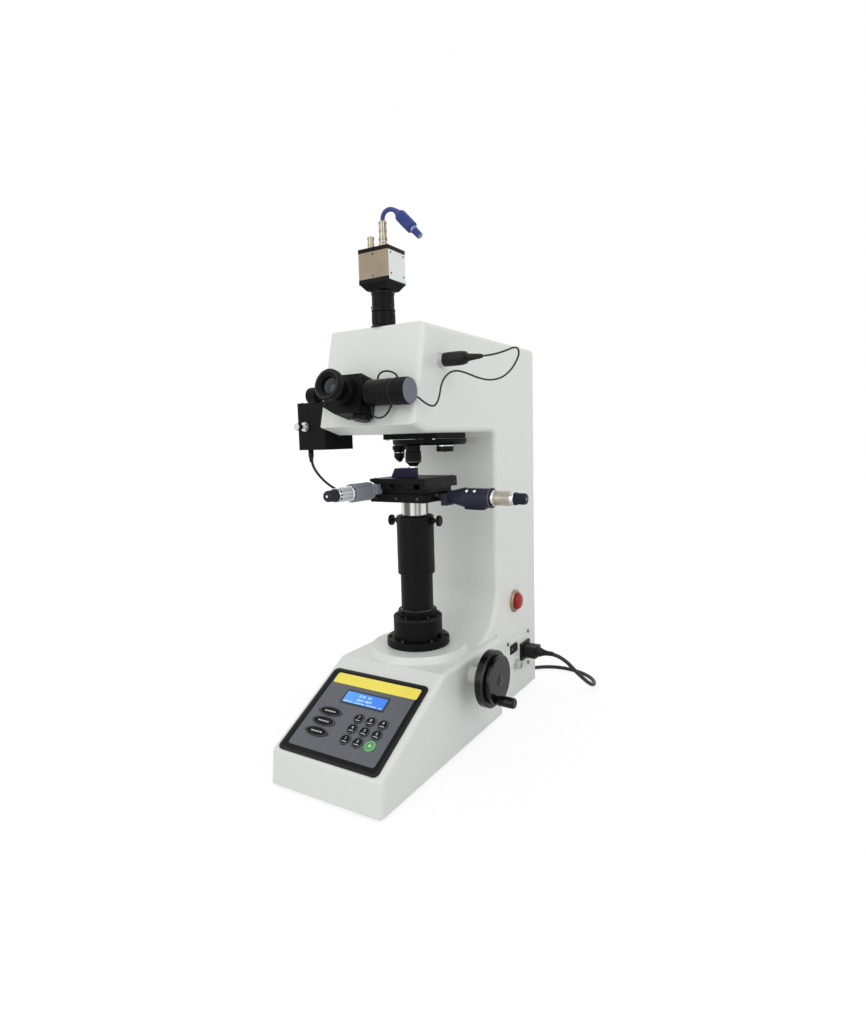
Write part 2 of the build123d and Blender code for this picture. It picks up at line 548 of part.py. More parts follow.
def x_slide():
    low, high = BASE_PLATE_TOP + SLIP, MID_PLATE_TOP
    plate = block(-41.5, 42, -44, 44, low, high)
    key = [(-DOVETAIL_MOUTH + SLIP, low), (-DOVETAIL_ROOT + SLIP, BASE_PLATE_TOP - 6 + SLIP),
           (DOVETAIL_ROOT - SLIP, BASE_PLATE_TOP - 6 + SLIP), (DOVETAIL_MOUTH - SLIP, low)]
    # the key stops short of the right edge, to clear the micrometer at full travel
    plate += Pos(-8.25, 0, 0) * side_extrusion(key, 33.25)
    plate += block(LUG_X[0], LUG_X[1], -7, 7, STAGE_BOTTOM + 3, low)
    plate -= block(LUG_X[1], 45, -MICROMETER_ROD - 0.6, MICROMETER_ROD + 0.6,
                   STAGE_BOTTOM, X_SCREW_Z + MICROMETER_ROD + 0.6)
    # dovetail that guides the top plate along Y
    rib = make_face(Polyline((-9, high), (-12, RIB_TOP), (12, RIB_TOP), (9, high), close=True))
    return plate + Pos(0, 44, 0) * extrude(Plane.XZ * rib, amount=88)


def stage_top():
    h, low, high = STAGE_HALF, TOP_PLATE_BOTTOM, STAGE_TOP
    plate = block(-h, h, -h, h, low, high)
    plate = fillet(plate.edges().filter_by(Axis.Z), 2)
    plate = chamfer(plate.faces().sort_by(Axis.Z)[-1].edges(), 0.8)
    skirt_low = MID_PLATE_TOP + SLIP
    plate += block(h - SKIRT_WIDTH, h, -h + 1, h - 1, skirt_low, low + 0.1)
    plate += block(-h, -h + SKIRT_WIDTH, 0, h - 1, skirt_low, low + 0.1)
    plate += block(-58, -42, LUG_Y[0], LUG_Y[1], BASE_PLATE_TOP + 0.6, high - 3)
    for side in (-1, 1):
        jaw = make_face(Polyline((side * 9.4, skirt_low), (side * 12.4, RIB_TOP + SLIP), (side * 12.4, low),
                                 (side * 30, low), (side * 30, skirt_low), close=True))
        plate += Pos(0, h - 2, 0) * extrude(Plane.XZ * jaw, amount=2 * h - 4)
    # relief over the Y micrometer's body
    plate -= rod(MICROMETER_Y_RADIUS + 0.5, 25, h + 1, towards_front(Y_SCREW_X, 0, Y_SCREW_Z)) \
        - block(-70, 0, -60, 60, 380, low - 0.1)
    return plate


def specimen_rest():
    outline = make_face(Polyline((-33, STAGE_TOP), (-26, REST_TOP), (5, REST_TOP), (5, STAGE_TOP), close=True))
    return Pos(0, 5, 0) * extrude(Plane.XZ * outline, amount=20)


def x_micrometer():
    axis = along_x(0, 0, X_SCREW_Z)
    body = block(STAGE_HALF, 58, -9, 9, STAGE_BOTTOM, BASE_PLATE_TOP - 1)
    body += block(58, 68, -16, 16, STAGE_BOTTOM - 6, BASE_PLATE_TOP)
    body += turned([(0, 67), (10, 67), (10, 70), (15, 91), (15, MICROMETER_X_END), (0, MICROMETER_X_END)], axis)
    body -= block(92, MICROMETER_X_END - 3, -20, 20, X_SCREW_Z + 13.8, X_SCREW_Z + 20)
    return body - rod(MICROMETER_ROD + 0.2, STAGE_HALF - 1, MICROMETER_X_END + 1, axis)


def y_micrometer():
    axis = towards_front(Y_SCREW_X, 0, Y_SCREW_Z)
    r = MICROMETER_Y_RADIUS
    body = turned([(0, STAGE_HALF + 0.5), (r - 1, STAGE_HALF + 0.5), (r - 1, STAGE_HALF + 6),
                   (r, STAGE_HALF + 6), (r, MICROMETER_Y_END - 1), (r - 1, MICROMETER_Y_END),
                   (0, MICROMETER_Y_END)], axis)
    body += block(-41.5, -30, -STAGE_HALF - 6, -40, MID_PLATE_TOP, RIB_TOP - 0.2)
    body += block(-41.5, -30, -STAGE_HALF - 6, -44, BASE_PLATE_TOP + SLIP, MID_PLATE_TOP)
    return body - rod(MICROMETER_ROD + 0.2, STAGE_HALF - 1, MICROMETER_Y_END + 1, axis)


def thimble(axis, tip, body_end):
    """Spindle from its tip, then the silver thimble and the darker ratchet cap."""
    start = body_end + REST_GAP
    r, cap = THIMBLE_RADIUS, CAP_RADIUS
    end = start + THIMBLE_LENGTH
    return turned([(0, tip), (MICROMETER_ROD - 0.5, tip), (MICROMETER_ROD, tip + 0.5), (MICROMETER_ROD, start),
                   (r + 1.4, start), (r + 1.4, start + 3), (r, start + 4), (r, end - 1), (r - 1, end),
                   (cap + 0.8, end), (cap + 0.8, end + 4), (cap, end + 5), (cap, end + CAP_LENGTH - 2),
                   (cap - 2, end + CAP_LENGTH), (0, end + CAP_LENGTH)], axis)


# ---------------------------------------------------------------- turret
def turret_mount():
    plate = block(-52, 48, -12, 90, MOUNT_BOTTOM, HEAD_UNDERSIDE)
    plate = fillet(plate.edges().filter_by(Axis.Z), 8)
    return plate - rod(10 + RUNNING_FIT, MOUNT_BOTTOM - 1, HEAD_UNDERSIDE - 2, Pos(0, TURRET_Y, 0))


def turret_disc():
    disc = turned([(0, TURRET_BOTTOM), (57, TURRET_BOTTOM), (60, TURRET_BOTTOM + 3),
                   (60, MOUNT_BOTTOM - SLIP), (10, MOUNT_BOTTOM - SLIP), (10, HEAD_UNDERSIDE - 3),
                   (0, HEAD_UNDERSIDE - 3)], Pos(0, TURRET_Y, 0))
    return disc


def station(angle):
    return Pos(0, TURRET_Y, 0) * Rot(0, 0, angle) * Pos(0, -STATION_RADIUS, 0)


def objectives():
    main = turned([(0, OBJECTIVE_TIP + 0.6), (4.5, OBJECTIVE_TIP + 0.6), (4.5, OBJECTIVE_TIP), (6, OBJECTIVE_TIP),
                   (9.5, OBJECTIVE_TIP + 4), (12.5, OBJECTIVE_TIP + 6), (12.5, OBJECTIVE_TIP + 22),
                   (11.5, OBJECTIVE_TIP + 23), (11.5, TURRET_BOTTOM), (0, TURRET_BOTTOM)], station(0))
    small = turned([(0, OBJECTIVE_TIP + 6), (3.5, OBJECTIVE_TIP + 6), (6.5, OBJECTIVE_TIP + 11),
                    (8.6, OBJECTIVE_TIP + 13), (8.6, OBJECTIVE_TIP + 24), (11, OBJECTIVE_TIP + 26),
                    (11, TURRET_BOTTOM), (0, TURRET_BOTTOM)], station(-60))
    return group([main, small])


def indenter():
    return turned([(0, INDENTER_TIP + 16), (2.4, INDENTER_TIP + 17.2), (2.4, INDENTER_TIP + 18.5),
                   (13.5, INDENTER_TIP + 18.5), (13.5, TURRET_BOTTOM), (0, TURRET_BOTTOM)], station(60))


# ---------------------------------------------------------------- measuring eyepiece
def eyepiece_block():
    (u0, u1), (v0, v1) = BLOCK_U, BLOCK_V
    outline = Polyline((u0, v0 + 11), (u0 + 22, v0), (u1, v0), (u1, v1 - 4), (u1 - 4, v1), (u0, v1), close=True)
    body = extrude(front_face(0, 0) * make_face(outline), amount=BLOCK_DEPTH)
    body += rod(20, BLOCK_DEPTH - 1, BLOCK_DEPTH + 4, front_face(EYE_U, EYE_V))
    body += drum_axis() * rod(10, u1 - 2, DRUM_START)
    body -= rod(12 + RUNNING_FIT, BLOCK_DEPTH - 14, BLOCK_DEPTH + 5, front_face(EYE_U, EYE_V))
    body -= rod(9, -1, BLOCK_DEPTH, front_face(EYE_U, EYE_V))
    return body - left_knob_axis() * rod(3.5 + RUNNING_FIT, -u0 - 10, -u0 + 1)


def drum_axis():
    """Location whose +Z runs along +X through the drum's axis, measured from X = 0."""
    return front_face(0, DRUM_V, DRUM_D) * Rot(0, 90, 0)


def left_knob_axis():
    return front_face(0, DRUM_V + 2.5, DRUM_D - 1.5) * Rot(0, -90, 0)


def eyepiece():
    base = BLOCK_DEPTH + 4 + SLIP
    return turned([(0, BLOCK_DEPTH - 12), (12, BLOCK_DEPTH - 12), (12, base), (17.5, base), (17.5, base + 4),
                   (15.5, base + 5), (16, base + 11), (17.5, base + 16), (19.5, base + 20),
                   (21.4, base + 22), (21.4, EYE_DEPTH - 1), (20, EYE_DEPTH), (17, EYE_DEPTH),
                   (13, EYE_DEPTH - 3), (12, EYE_DEPTH - 7), (0, EYE_DEPTH - 6)], front_face(EYE_U, EYE_V))


def encoder_housing():
    r = DRUM_RADIUS
    body = turned([(0, DRUM_START), (r - 3, DRUM_START), (r - 0.6, DRUM_START + 2), (r, DRUM_START + 3),
                   (r, DRUM_SPLIT - 5), (r - 0.8, DRUM_SPLIT - 4.5), (r - 0.8, DRUM_SPLIT - SLIP),
                   (0, DRUM_SPLIT - SLIP)])
    body -= rod(5 + RUNNING_FIT, DRUM_SPLIT - 15, DRUM_SPLIT)
    return drum_axis() * body + gland_place() * turned(
        [(0, r - 2), (3.4, r - 2), (3.4, r + 1), (2.4, r + 1.5), (2, r + 3), (0, r + 3)])


def gland_place():
    """+Z points down the face from the drum's axis."""
    return front_face(GLAND_U, DRUM_V, DRUM_D) * Rot(90, 0, 0)


def encoder_knob():
    r = DRUM_RADIUS
    return drum_axis() * turned([(0, DRUM_SPLIT - 14), (5, DRUM_SPLIT - 14), (5, DRUM_SPLIT),
                                 (r, DRUM_SPLIT), (r, DRUM_END - 1), (r - 1, DRUM_END), (0, DRUM_END)])


def left_knob():
    start = -BLOCK_U[0]
    return left_knob_axis() * turned([(0, start - 9), (3.5, start - 9), (3.5, 70), (10.7, 70), (11.6, 71),
                                      (11.6, 85.4), (10.6, 86.4), (0, 86.4)])


def clamp_knob():
    place = front_face(CLAMP_U, BLOCK_V[0] - SLIP, CLAMP_D) * Rot(90, 0, 0)
    return turned([(0, 0), (11.5, 0), (12.3, 0.8), (12.3, 5.2), (11.3, 6), (0, 6)], place)


# ---------------------------------------------------------------- camera
def camera_tube():
    r = CAMERA_TUBE_RADIUS
    return turned([(r - 4, HEAD_TOP - 5), (r - 3.1, HEAD_TOP - 5), (r - 3.1, HEAD_TOP), (r + 0.6, HEAD_TOP),
                   (r + 0.6, HEAD_TOP + 22), (r, HEAD_TOP + 23), (r, CAMERA_TUBE_TOP), (r - 4, CAMERA_TUBE_TOP)],
                  Pos(CAMERA_X, CAMERA_Y, 0))


def camera_plates():
    at = Pos(CAMERA_X, CAMERA_Y, 0)
    low = loft([at * Pos(0, 0, CAMERA_TUBE_TOP) * Rectangle(33, 33),
                at * Pos(0, 0, CAMERA_BOTTOM) * Rectangle(2 * CAMERA_HALF_X, 2 * CAMERA_HALF_Y)])
    top = at * Pos(0, 0, (CAMERA_TOP + PORT_TOP) / 2) * Box(2 * CAMERA_HALF_X - 1, 2 * CAMERA_HALF_Y - 1,
                                                           PORT_TOP - CAMERA_TOP)
    return group([low, top])


def camera_body():
    box = block(CAMERA_X - CAMERA_HALF_X, CAMERA_X + CAMERA_HALF_X, CAMERA_Y - CAMERA_HALF_Y,
                CAMERA_Y + CAMERA_HALF_Y, CAMERA_BOTTOM, CAMERA_TOP)
    return fillet(box.edges().filter_by(Axis.Z), 2)


def camera_ports():
    small = turned([(0, PORT_TOP), (5.6, PORT_TOP), (5.6, PORT_TOP + 2), (4.6, PORT_TOP + 3),
                    (4.6, 760), (0, 760)], Pos(-10, PORT_Y, 0))
    tall = turned([(0, PORT_TOP), (6.5, PORT_TOP), (6.5, PORT_TOP + 7), (5.4, PORT_TOP + 8), (5.4, 777),
                   (4.4, 778), (0, 778)], Pos(11.3, PORT_Y, 0))
    return group([small, tall])


def camera_pigtail():
    return cord_tube([(x, PORT_Y, z) for x, z in PIGTAIL_ROUTE], PIGTAIL, "pigtail")


def inline_connector():
    (x0, z0), (x1, z1) = PIGTAIL_ROUTE[-1], (60, 760)
    length = math.hypot(x1 - x0, z1 - z0)
    place = Location(Plane(origin=(x0, PORT_Y, z0), x_dir=(0, 1, 0), z_dir=(x1 - x0, 0, z1 - z0)))
    return turned([(0, 0), (6, 0), (8, 3), (8, length), (6, length + 1), (5, length + 2), (4.4, length + 18),
                   (0, length + 18)], place)


# ---------------------------------------------------------------- cords
def cord_tube(points, diameter, name):
    """Tube along straight runs joined by arcs as large as the runs allow."""
    radii = []
    for a, b, c in zip(points, points[1:], points[2:]):
        first, second = Vector(*b) - Vector(*a), Vector(*c) - Vector(*b)
        half_turn = math.radians(first.get_angle(second)) / 2
        radii.append(0.45 * min(first.length, second.length) / math.tan(half_turn))
    print(name, "smallest bend radius", round(min(radii), 1), "of", [round(r, 1) for r in radii])
    route = FilletPolyline(*points, radius=radii)
    start = Plane(origin=route @ 0, z_dir=route % 0)
    tube = sweep(start * Circle(diameter / 2), path=route)
    print(name, "length", round(route.length, 1), "volume share",
          round(tube.volume / (math.pi * diameter ** 2 / 4 * route.length), 4))
    return tube


def on_face(u, v, d):
    point = front_face(u, v, d).position
    return (point.X, point.Y, point.Z)


def encoder_cord():
    return cord_tube([on_face(*p) for p in ENCODER_LOOP] + ENCODER_ROUTE, ENCODER_CORD, "encoder cord")


def sensor_cord():
    return cord_tube(SENSOR_ROUTE, SENSOR_CORD, "sensor cord")


def mains_cord_run():
    return cord_tube(MAINS_ROUTE, MAINS_CORD, "mains cord")


def mains_cord_coil():
    low, high = COIL_RADIUS - COIL_WIDTH / 2, COIL_RADIUS + COIL_WIDTH / 2
    x, y = COIL_PLACE
    return turned([(low + 3, 0.1), (high - 3, 0.1), (high, 3), (high, COIL_HEIGHT - 3), (high - 3, COIL_HEIGHT),
                   (low + 3, COIL_HEIGHT), (low, COIL_HEIGHT - 3), (low, 3)], Pos(x, y, 0))


def mains_plug():
    x, y, z = MAINS_PLUG_PLACE
    body = block(x - 42, x - 4, y - 18, y + 18, 0.1, 24)
    body = fillet(body.edges().filter_by(Axis.Z), 6)
    body += rod(5, -5, 12, Pos(x, y, z) * Rot(0, 90, 0))
    for side in (-9.5, 9.5):
        body += rod(2.4, 41, 61, Pos(x, y + side, 12) * Rot(0, -90, 0))
    return body


# ---------------------------------------------------------------- fittings
def interface_box():
    box = block(*BOX_X, *BOX_Y, *BOX_Z)
    box = fillet(box.edges().filter_by(Axis.Z), 2.5)
    box -= rod(3.05, -1, 9, box_screw_axis() * Rot(180, 0, 0))
    return box + rod(4, 0, 6, Pos(SENSOR_ROUTE[0][0], SENSOR_ROUTE[0][1], BOX_Z[0] - 6))


def box_screw_axis():
    return towards_front(-122.4, BOX_Y[0], 496.5)


def box_screw():
    return turned([(0, -8), (3, -8), (3, 1), (6.5, 1), (6.5, 3), (3, 3), (3, 10), (5, 10), (5, 18), (4.4, 18.6),
                   (0, 18.6)], box_screw_axis())


def side_fittings():
    socket = turned([(0, HEAD_HALF - 8), (5.7, HEAD_HALF - 8), (5.7, HEAD_HALF), (11, HEAD_HALF),
                     (11, HEAD_HALF + 2), (9.6, HEAD_HALF + 3), (0, HEAD_HALF + 3)],
                    along_x(0, SOCKET_Y, SOCKET_Z))
    fuse = turned([(0, HEAD_HALF + 2), (9, HEAD_HALF + 2), (9, HEAD_HALF + 4), (7.5, HEAD_HALF + 5),
                   (7.5, HEAD_HALF + 13), (6.5, HEAD_HALF + 14), (0, HEAD_HALF + 14)],
                  along_x(0, FUSE_Y, FUSE_Z))
    return group([socket, fuse])


def din_plug():
    start = HEAD_HALF + 3
    return turned([(0, start), (8.6, start), (8.6, start + 3), (9.6, start + 4), (9.6, 118), (8, 120),
                   (8, 124), (5, 125), (4.2, 134), (2.8, 148), (0, 148)], along_x(0, SOCKET_Y, SOCKET_Z))


def stop_collar():
    return turned([(15.2, HEAD_HALF), (20, HEAD_HALF), (20, HEAD_HALF + 3), (18, HEAD_HALF + 5),
                   (15.2, HEAD_HALF + 5)], along_x(0, STOP_Y, STOP_Z))


def stop_button():
    face = HEAD_HALF + 14
    return turned([(0, HEAD_HALF - 10), (7.5, HEAD_HALF - 10), (7.5, HEAD_HALF + 3.5), (14.4, HEAD_HALF + 3.5),
                   (14.4, HEAD_HALF + 9), (12.5, HEAD_HALF + 11.5), (8, face - 0.8), (0, face)],
                  along_x(0, STOP_Y, STOP_Z))


def power_plate():
    plate = block(HEAD_HALF, HEAD_HALF + 2, *PLATE_Y, *PLATE_Z)
    plate = fillet(plate.edges().filter_by(Axis.X), 3)
    plate -= block(HEAD_HALF - 1, HEAD_HALF + 3, ROCKER_Y - 12.5, ROCKER_Y + 12.5, ROCKER_Z - 6.5, ROCKER_Z + 6.5)
    return plate - block(HEAD_HALF - 1, HEAD_HALF + 3, INLET_Y - 14, INLET_Y + 14, INLET_Z - 10, INLET_Z + 10)


def plate_screws():
    return [cap_screw(along_x(HEAD_HALF + 2, y, z), 3.2, 1.8)
            for y in (PLATE_Y[0] + 7, PLATE_Y[1] - 8) for z in (PLATE_Z[0] + 7, PLATE_Z[1] - 7)]


def power_inlet():
    face = HEAD_HALF + 2
    flange = block(face, face + 3, INLET_Y - 20, INLET_Y + 20, INLET_Z - 16.5, INLET_Z + 16)
    flange += block(face - 14, face + 0.5, INLET_Y - 13.5, INLET_Y + 13.5, INLET_Z - 9.5, INLET_Z + 9.5)
    flange -= block(face - 10, face + 4, INLET_Y - 12, INLET_Y + 12, INLET_Z - 8, INLET_Z + 8)
    for side in (-7, 0, 7):
        flange += block(face - 11, face - 1, INLET_Y + side - 1, INLET_Y + side + 1, INLET_Z - 2, INLET_Z + 2)
    return flange


def inlet_plug():
    face = HEAD_HALF + 2
    body = block(face + 3, 112, INLET_Y - 15, INLET_Y + 15, INLET_Z - 11, INLET_Z + 11)
    body = fillet(body.edges().filter_by(Axis.X), 5)
    nose = block(face - 5, face + 4, INLET_Y - 11.6, INLET_Y + 11.6, INLET_Z - 7.6, INLET_Z + 7.6)
    for side in (-7, 0, 7):
        nose -= block(face - 6, face - 0.5, INLET_Y + side - 1.4, INLET_Y + side + 1.4, INLET_Z - 2.4, INLET_Z + 2.4)
    boot = turned([(0, 111), (10, 111), (8, 118), (5.2, 124), (4.8, MAINS_ROUTE[0][0]), (0, MAINS_ROUTE[0][0])],
                  along_x(0, INLET_Y, INLET_Z))
    return body + nose + boot


def power_rocker():
    face = HEAD_HALF + 2
    outline = make_face(Polyline((face - 5, ROCKER_Y - 11), (face + 0.5, ROCKER_Y - 12),
                                 (face + 1.5, ROCKER_Y), (face + 3.5, ROCKER_Y + 12),
                                 (face - 5, ROCKER_Y + 11), (face - 8, ROCKER_Y), close=True))
    # barrel on the axis that the rocker tilts about
    pivot = Pos(HEAD_HALF, ROCKER_Y, ROCKER_Z)
    return Pos(0, 0, ROCKER_Z - 6.2) * extrude(outline, amount=12.4) + rod(2, -6.4, 6.4, pivot)


def sensor_plug():
    end = SENSOR_ROUTE[-1]
    return turned([(0, STAGE_HALF), (5, STAGE_HALF), (5, STAGE_HALF + 6), (3.4, STAGE_HALF + 7),
                   (2.6, -end[0]), (0, -end[0])], Pos(0, end[1], end[2]) * Rot(0, -90, 0))


# ---------------------------------------------------------------- assembly
def build():
    return {
        "base_casting": base_casting(),
        "column_casting": column_casting(),
        "rear_cover": rear_cover(),
        "bottom_plate": bottom_plate(),
        "panel_bezel": panel_bezel(),
        "membrane_keypad": membrane_keypad(),
        "gear_housing": gear_housing(),
        "screws": group(gear_screws() + plate_screws()),
        "lock_ring": lock_ring(),
        "guide_tube": guide_tube(),
        "bushes": bushes(),
        "lifting_nut": lifting_nut(),
        "handwheel_shaft": handwheel_shaft(),
        "handwheel": handwheel(),
        "crank_handle": crank_handle(),
        "lifting_screw": lifting_screw(),
        "guard_sleeve": guard_sleeve(),
        "thumbscrew_left": thumbscrew(-1),
        "thumbscrew_right": thumbscrew(1),
        "stage_base": stage_base(),
        "x_slide": x_slide(),
        "stage_top": stage_top(),
        "specimen_rest": specimen_rest(),
        "x_micrometer": x_micrometer(),
        "y_micrometer": y_micrometer(),
        "x_thimble": thimble(along_x(0, 0, X_SCREW_Z), LUG_X[1] + 0.05, MICROMETER_X_END),
        "y_thimble": thimble(towards_front(Y_SCREW_X, 0, Y_SCREW_Z), -LUG_Y[0] + 0.05, MICROMETER_Y_END),
        "turret_mount": turret_mount(),
        "turret_disc": turret_disc(),
        "objectives": objectives(),
        "indenter": indenter(),
        "eyepiece_block": eyepiece_block(),
        "eyepiece": eyepiece(),
        "encoder_housing": encoder_housing(),
        "encoder_knob": encoder_knob(),
        "left_knob": left_knob(),
        "clamp_knob": clamp_knob(),
        "camera_tube": camera_tube(),
        "camera_plates": camera_plates(),
        "camera_body": camera_body(),
        "camera_ports": camera_ports(),
        "camera_pigtail": camera_pigtail(),
        "inline_connector": inline_connector(),
        "encoder_cord": encoder_cord(),
        "din_plug": din_plug(),
        "side_fittings": side_fittings(),
        "interface_box": interface_box(),
        "box_screw": box_screw(),
        "sensor_cord": sensor_cord(),
        "sensor_plug": sensor_plug(),
        "stop_collar": stop_collar(),
        "stop_button": stop_button(),
        "power_plate": power_plate(),
        "power_rocker": power_rocker(),
        "power_inlet": power_inlet(),
        "inlet_plug": inlet_plug(),
        "mains_cord_run": mains_cord_run(),
        "mains_cord_coil": mains_cord_coil(),
        "mains_plug": mains_plug(),
    }


os.makedirs("parts", exist_ok=True)
for name, shape in build().items():
    export_step(shape, "parts/" + name + ".step")
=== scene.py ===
from math import atan2, cos, pi, radians, sin

import bmesh
import bpy
from bpy.props import FloatProperty, FloatVectorProperty, PointerProperty
from mathutils import Matrix, Vector


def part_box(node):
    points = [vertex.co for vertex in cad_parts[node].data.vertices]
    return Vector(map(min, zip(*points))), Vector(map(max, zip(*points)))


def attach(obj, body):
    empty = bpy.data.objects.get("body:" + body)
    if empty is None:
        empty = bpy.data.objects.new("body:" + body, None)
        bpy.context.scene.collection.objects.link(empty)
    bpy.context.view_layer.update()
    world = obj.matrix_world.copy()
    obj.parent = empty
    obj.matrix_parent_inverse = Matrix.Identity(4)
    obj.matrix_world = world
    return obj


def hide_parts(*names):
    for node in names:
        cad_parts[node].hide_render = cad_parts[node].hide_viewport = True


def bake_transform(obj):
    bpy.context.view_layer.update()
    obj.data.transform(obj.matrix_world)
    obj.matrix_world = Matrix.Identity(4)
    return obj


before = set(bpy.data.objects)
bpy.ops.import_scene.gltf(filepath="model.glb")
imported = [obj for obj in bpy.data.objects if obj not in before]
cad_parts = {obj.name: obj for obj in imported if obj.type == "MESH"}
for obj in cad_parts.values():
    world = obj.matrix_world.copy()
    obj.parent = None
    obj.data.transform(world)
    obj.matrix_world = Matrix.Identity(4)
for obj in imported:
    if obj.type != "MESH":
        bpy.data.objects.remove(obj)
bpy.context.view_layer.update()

bl_info = {
    "name": "Hardness Tester Dressing",
    "version": (1, 0, 0),
    "blender": (4, 5, 0),
    "location": "View3D > Sidebar > Tester",
    "description": "Finishes, trim, cords and studio for an indentation hardness tester",
    "category": "Object",
}

MM = 0.001
WELD = 1e-7                    # vertices nearer than this are one
SHARP = radians(32)            # edges that turn more stay sharp
KEY_PLACE, FILL_PLACE, AIM = (2.3, -0.9, 1.7), (-0.4, -2.5, 1.05), (0, 0, 0.35)
SOFTBOX_SIZE = 1.5
FLOOR_SIZE, FLOOR_DROP = 6.0, 0.0004
FLOOR_GLOW = 1.12              # just over white, so that the floor's far part shows as white
FADE_START, FADE_END = 0.45, 1.3
NEAR_GLOW = 0.72               # share of the glow beside the tester, where its shadow falls


# ---------------------------------------------------------------- sizes and colours
def length(name, description, default, low=0.0):
    return FloatProperty(name=name, description=description, default=default, min=low, max=3.0,
                         unit="LENGTH", precision=5)


def angle(name, description, default):
    return FloatProperty(name=name, description=description, default=radians(default), subtype="ANGLE")


def colour(name, description, default):
    return FloatVectorProperty(name=name, description=description, default=default, size=3,
                               min=0.0, max=1.0, subtype="COLOR")


def linear(code):
    """Linear colour of a six-digit sRGB code."""
    values = [int(code[i:i + 2], 16) / 255 for i in (0, 2, 4)]
    return tuple(v / 12.92 if v <= 0.04045 else ((v + 0.055) / 1.055) ** 2.4 for v in values)


class TesterView(bpy.types.PropertyGroup):
    """Camera and studio."""
    place: FloatVectorProperty(name="Camera place", description="Where the camera stands", size=3,
                               default=(0.5448, -0.8361, 0.4729), subtype="TRANSLATION", unit="LENGTH")
    azimuth: angle("Azimuth", "Turn of the camera to the left of straight back", 31.43)
    pitch: angle("Pitch", "Tilt of the camera, negative looks down", -6.18)
    roll: angle("Roll", "Turn of the camera about its own axis", -1.47)
    lens: FloatProperty(name="Lens", description="Focal length for a 36 mm high frame", default=22.457,
                        min=5, max=200, unit="CAMERA")
    key_power: FloatProperty(name="Key light", description="Power of the large softbox", default=9.0,
                             min=0, subtype="POWER")
    fill_power: FloatProperty(name="Fill light", description="Power of the side softbox", default=9.0,
                              min=0, subtype="POWER")
    world_level: FloatProperty(name="Room light", description="Strength of the even room light",
                               default=0.82, min=0)


class TesterColours(bpy.types.PropertyGroup):
    """Colours of the finishes."""
    enamel: colour("Enamel", "Castings", linear("DEE1DC"))
    anodised: colour("Anodised", "Black anodised parts", linear("0A0A0B"))
    navy: colour("Dark blue", "Blue-black anodised parts", linear("262543"))
    grey: colour("Grey enamel", "Body of the front micrometer", linear("81868F"))
    overlay: colour("Overlay", "Printed film of the keypad", linear("54585F"))
    header: colour("Header", "Plain strip at the top of the keypad", linear("FAE856"))
    display: colour("Display", "Lit display", linear("2272DE"))
    start_key: colour("Start key", "Lit key at the end of the keypad", linear("43904A"))
    button: colour("Stop button", "Dome of the stop button", linear("C3201E"))
    cable: colour("Cable", "Sheath of the cords", linear("17181A"))
    lead: colour("Camera lead", "Blue sheath of the camera's lead", linear("2B3D80"))
    camera: colour("Camera shell", "Case of the measuring camera", linear("C6B69C"))
    brass: colour("Bronze", "Nut and bushes", linear("B48C4A"))
    steel: colour("Steel", "Ground and plated steel", linear("D3D5D6"))


class TesterSlope(bpy.types.PropertyGroup):
    """Control panel on the slope of the base."""
    low_y: length("Lower edge, back", "Y of the slope's lower edge", -0.2385, -1)
    low_z: length("Lower edge, height", "Z of the slope's lower edge", 0.051)
    high_y: length("Upper edge, back", "Y of the slope's upper edge", -0.081, -1)
    high_z: length("Upper edge, height", "Z of the slope's upper edge", 0.1365)
    film: length("Film height", "Height of the film above the slope", 0.0014)
    key_radius: length("Key radius", "Radius of the round keys", 0.0083)
    key_pitch: length("Key spacing", "Distance between round keys", 0.0207)


class TesterCords(bpy.types.PropertyGroup):
    """Diameters and lengths of the cords."""
    encoder: length("Encoder cord", "Diameter", 0.0026)
    sensor: length("Sensor cord", "Diameter", 0.004)
    pigtail: length("Camera lead", "Diameter", 0.0063)
    mains: length("Mains cord", "Diameter", 0.007)
    mains_length: length("Mains length", "Whole length of the mains cord", 1.8)
    coil_radius: length("Coil radius", "Middle of the coil's turns", 0.0445)


GROUPS = {"tester_view": TesterView, "tester_colours": TesterColours, "tester_slope": TesterSlope,
          "tester_cords": TesterCords}


# ---------------------------------------------------------------- shader maths
class Wire:
    """A node's output, with arithmetic that adds Math nodes."""

    def __init__(self, finish, output):
        self.finish, self.output = finish, output

    def maths(self, operation, *values):
        return self.finish.node("ShaderNodeMath", {"operation": operation}, *values)

    def __add__(self, other):
        return self.maths("ADD", self, other)

    def __radd__(self, other):
        return self.maths("ADD", other, self)

    def __sub__(self, other):
        return self.maths("SUBTRACT", self, other)

    def __rsub__(self, other):
        return self.maths("SUBTRACT", other, self)

    def __mul__(self, other):
        return self.maths("MULTIPLY", self, other)

    def __rmul__(self, other):
        return self.maths("MULTIPLY", other, self)

    def __truediv__(self, other):
        return self.maths("DIVIDE", self, other)

    def __rtruediv__(self, other):
        return self.maths("DIVIDE", other, self)

    def __pow__(self, other):
        return self.maths("POWER", self, other)

    def between(self, low, high):
        """0 at low, 1 at high, smooth between."""
        kind = {"interpolation_type": "SMOOTHSTEP"}
        return self.finish.node("ShaderNodeMapRange", kind, self, low, high, 0.0, 1.0)


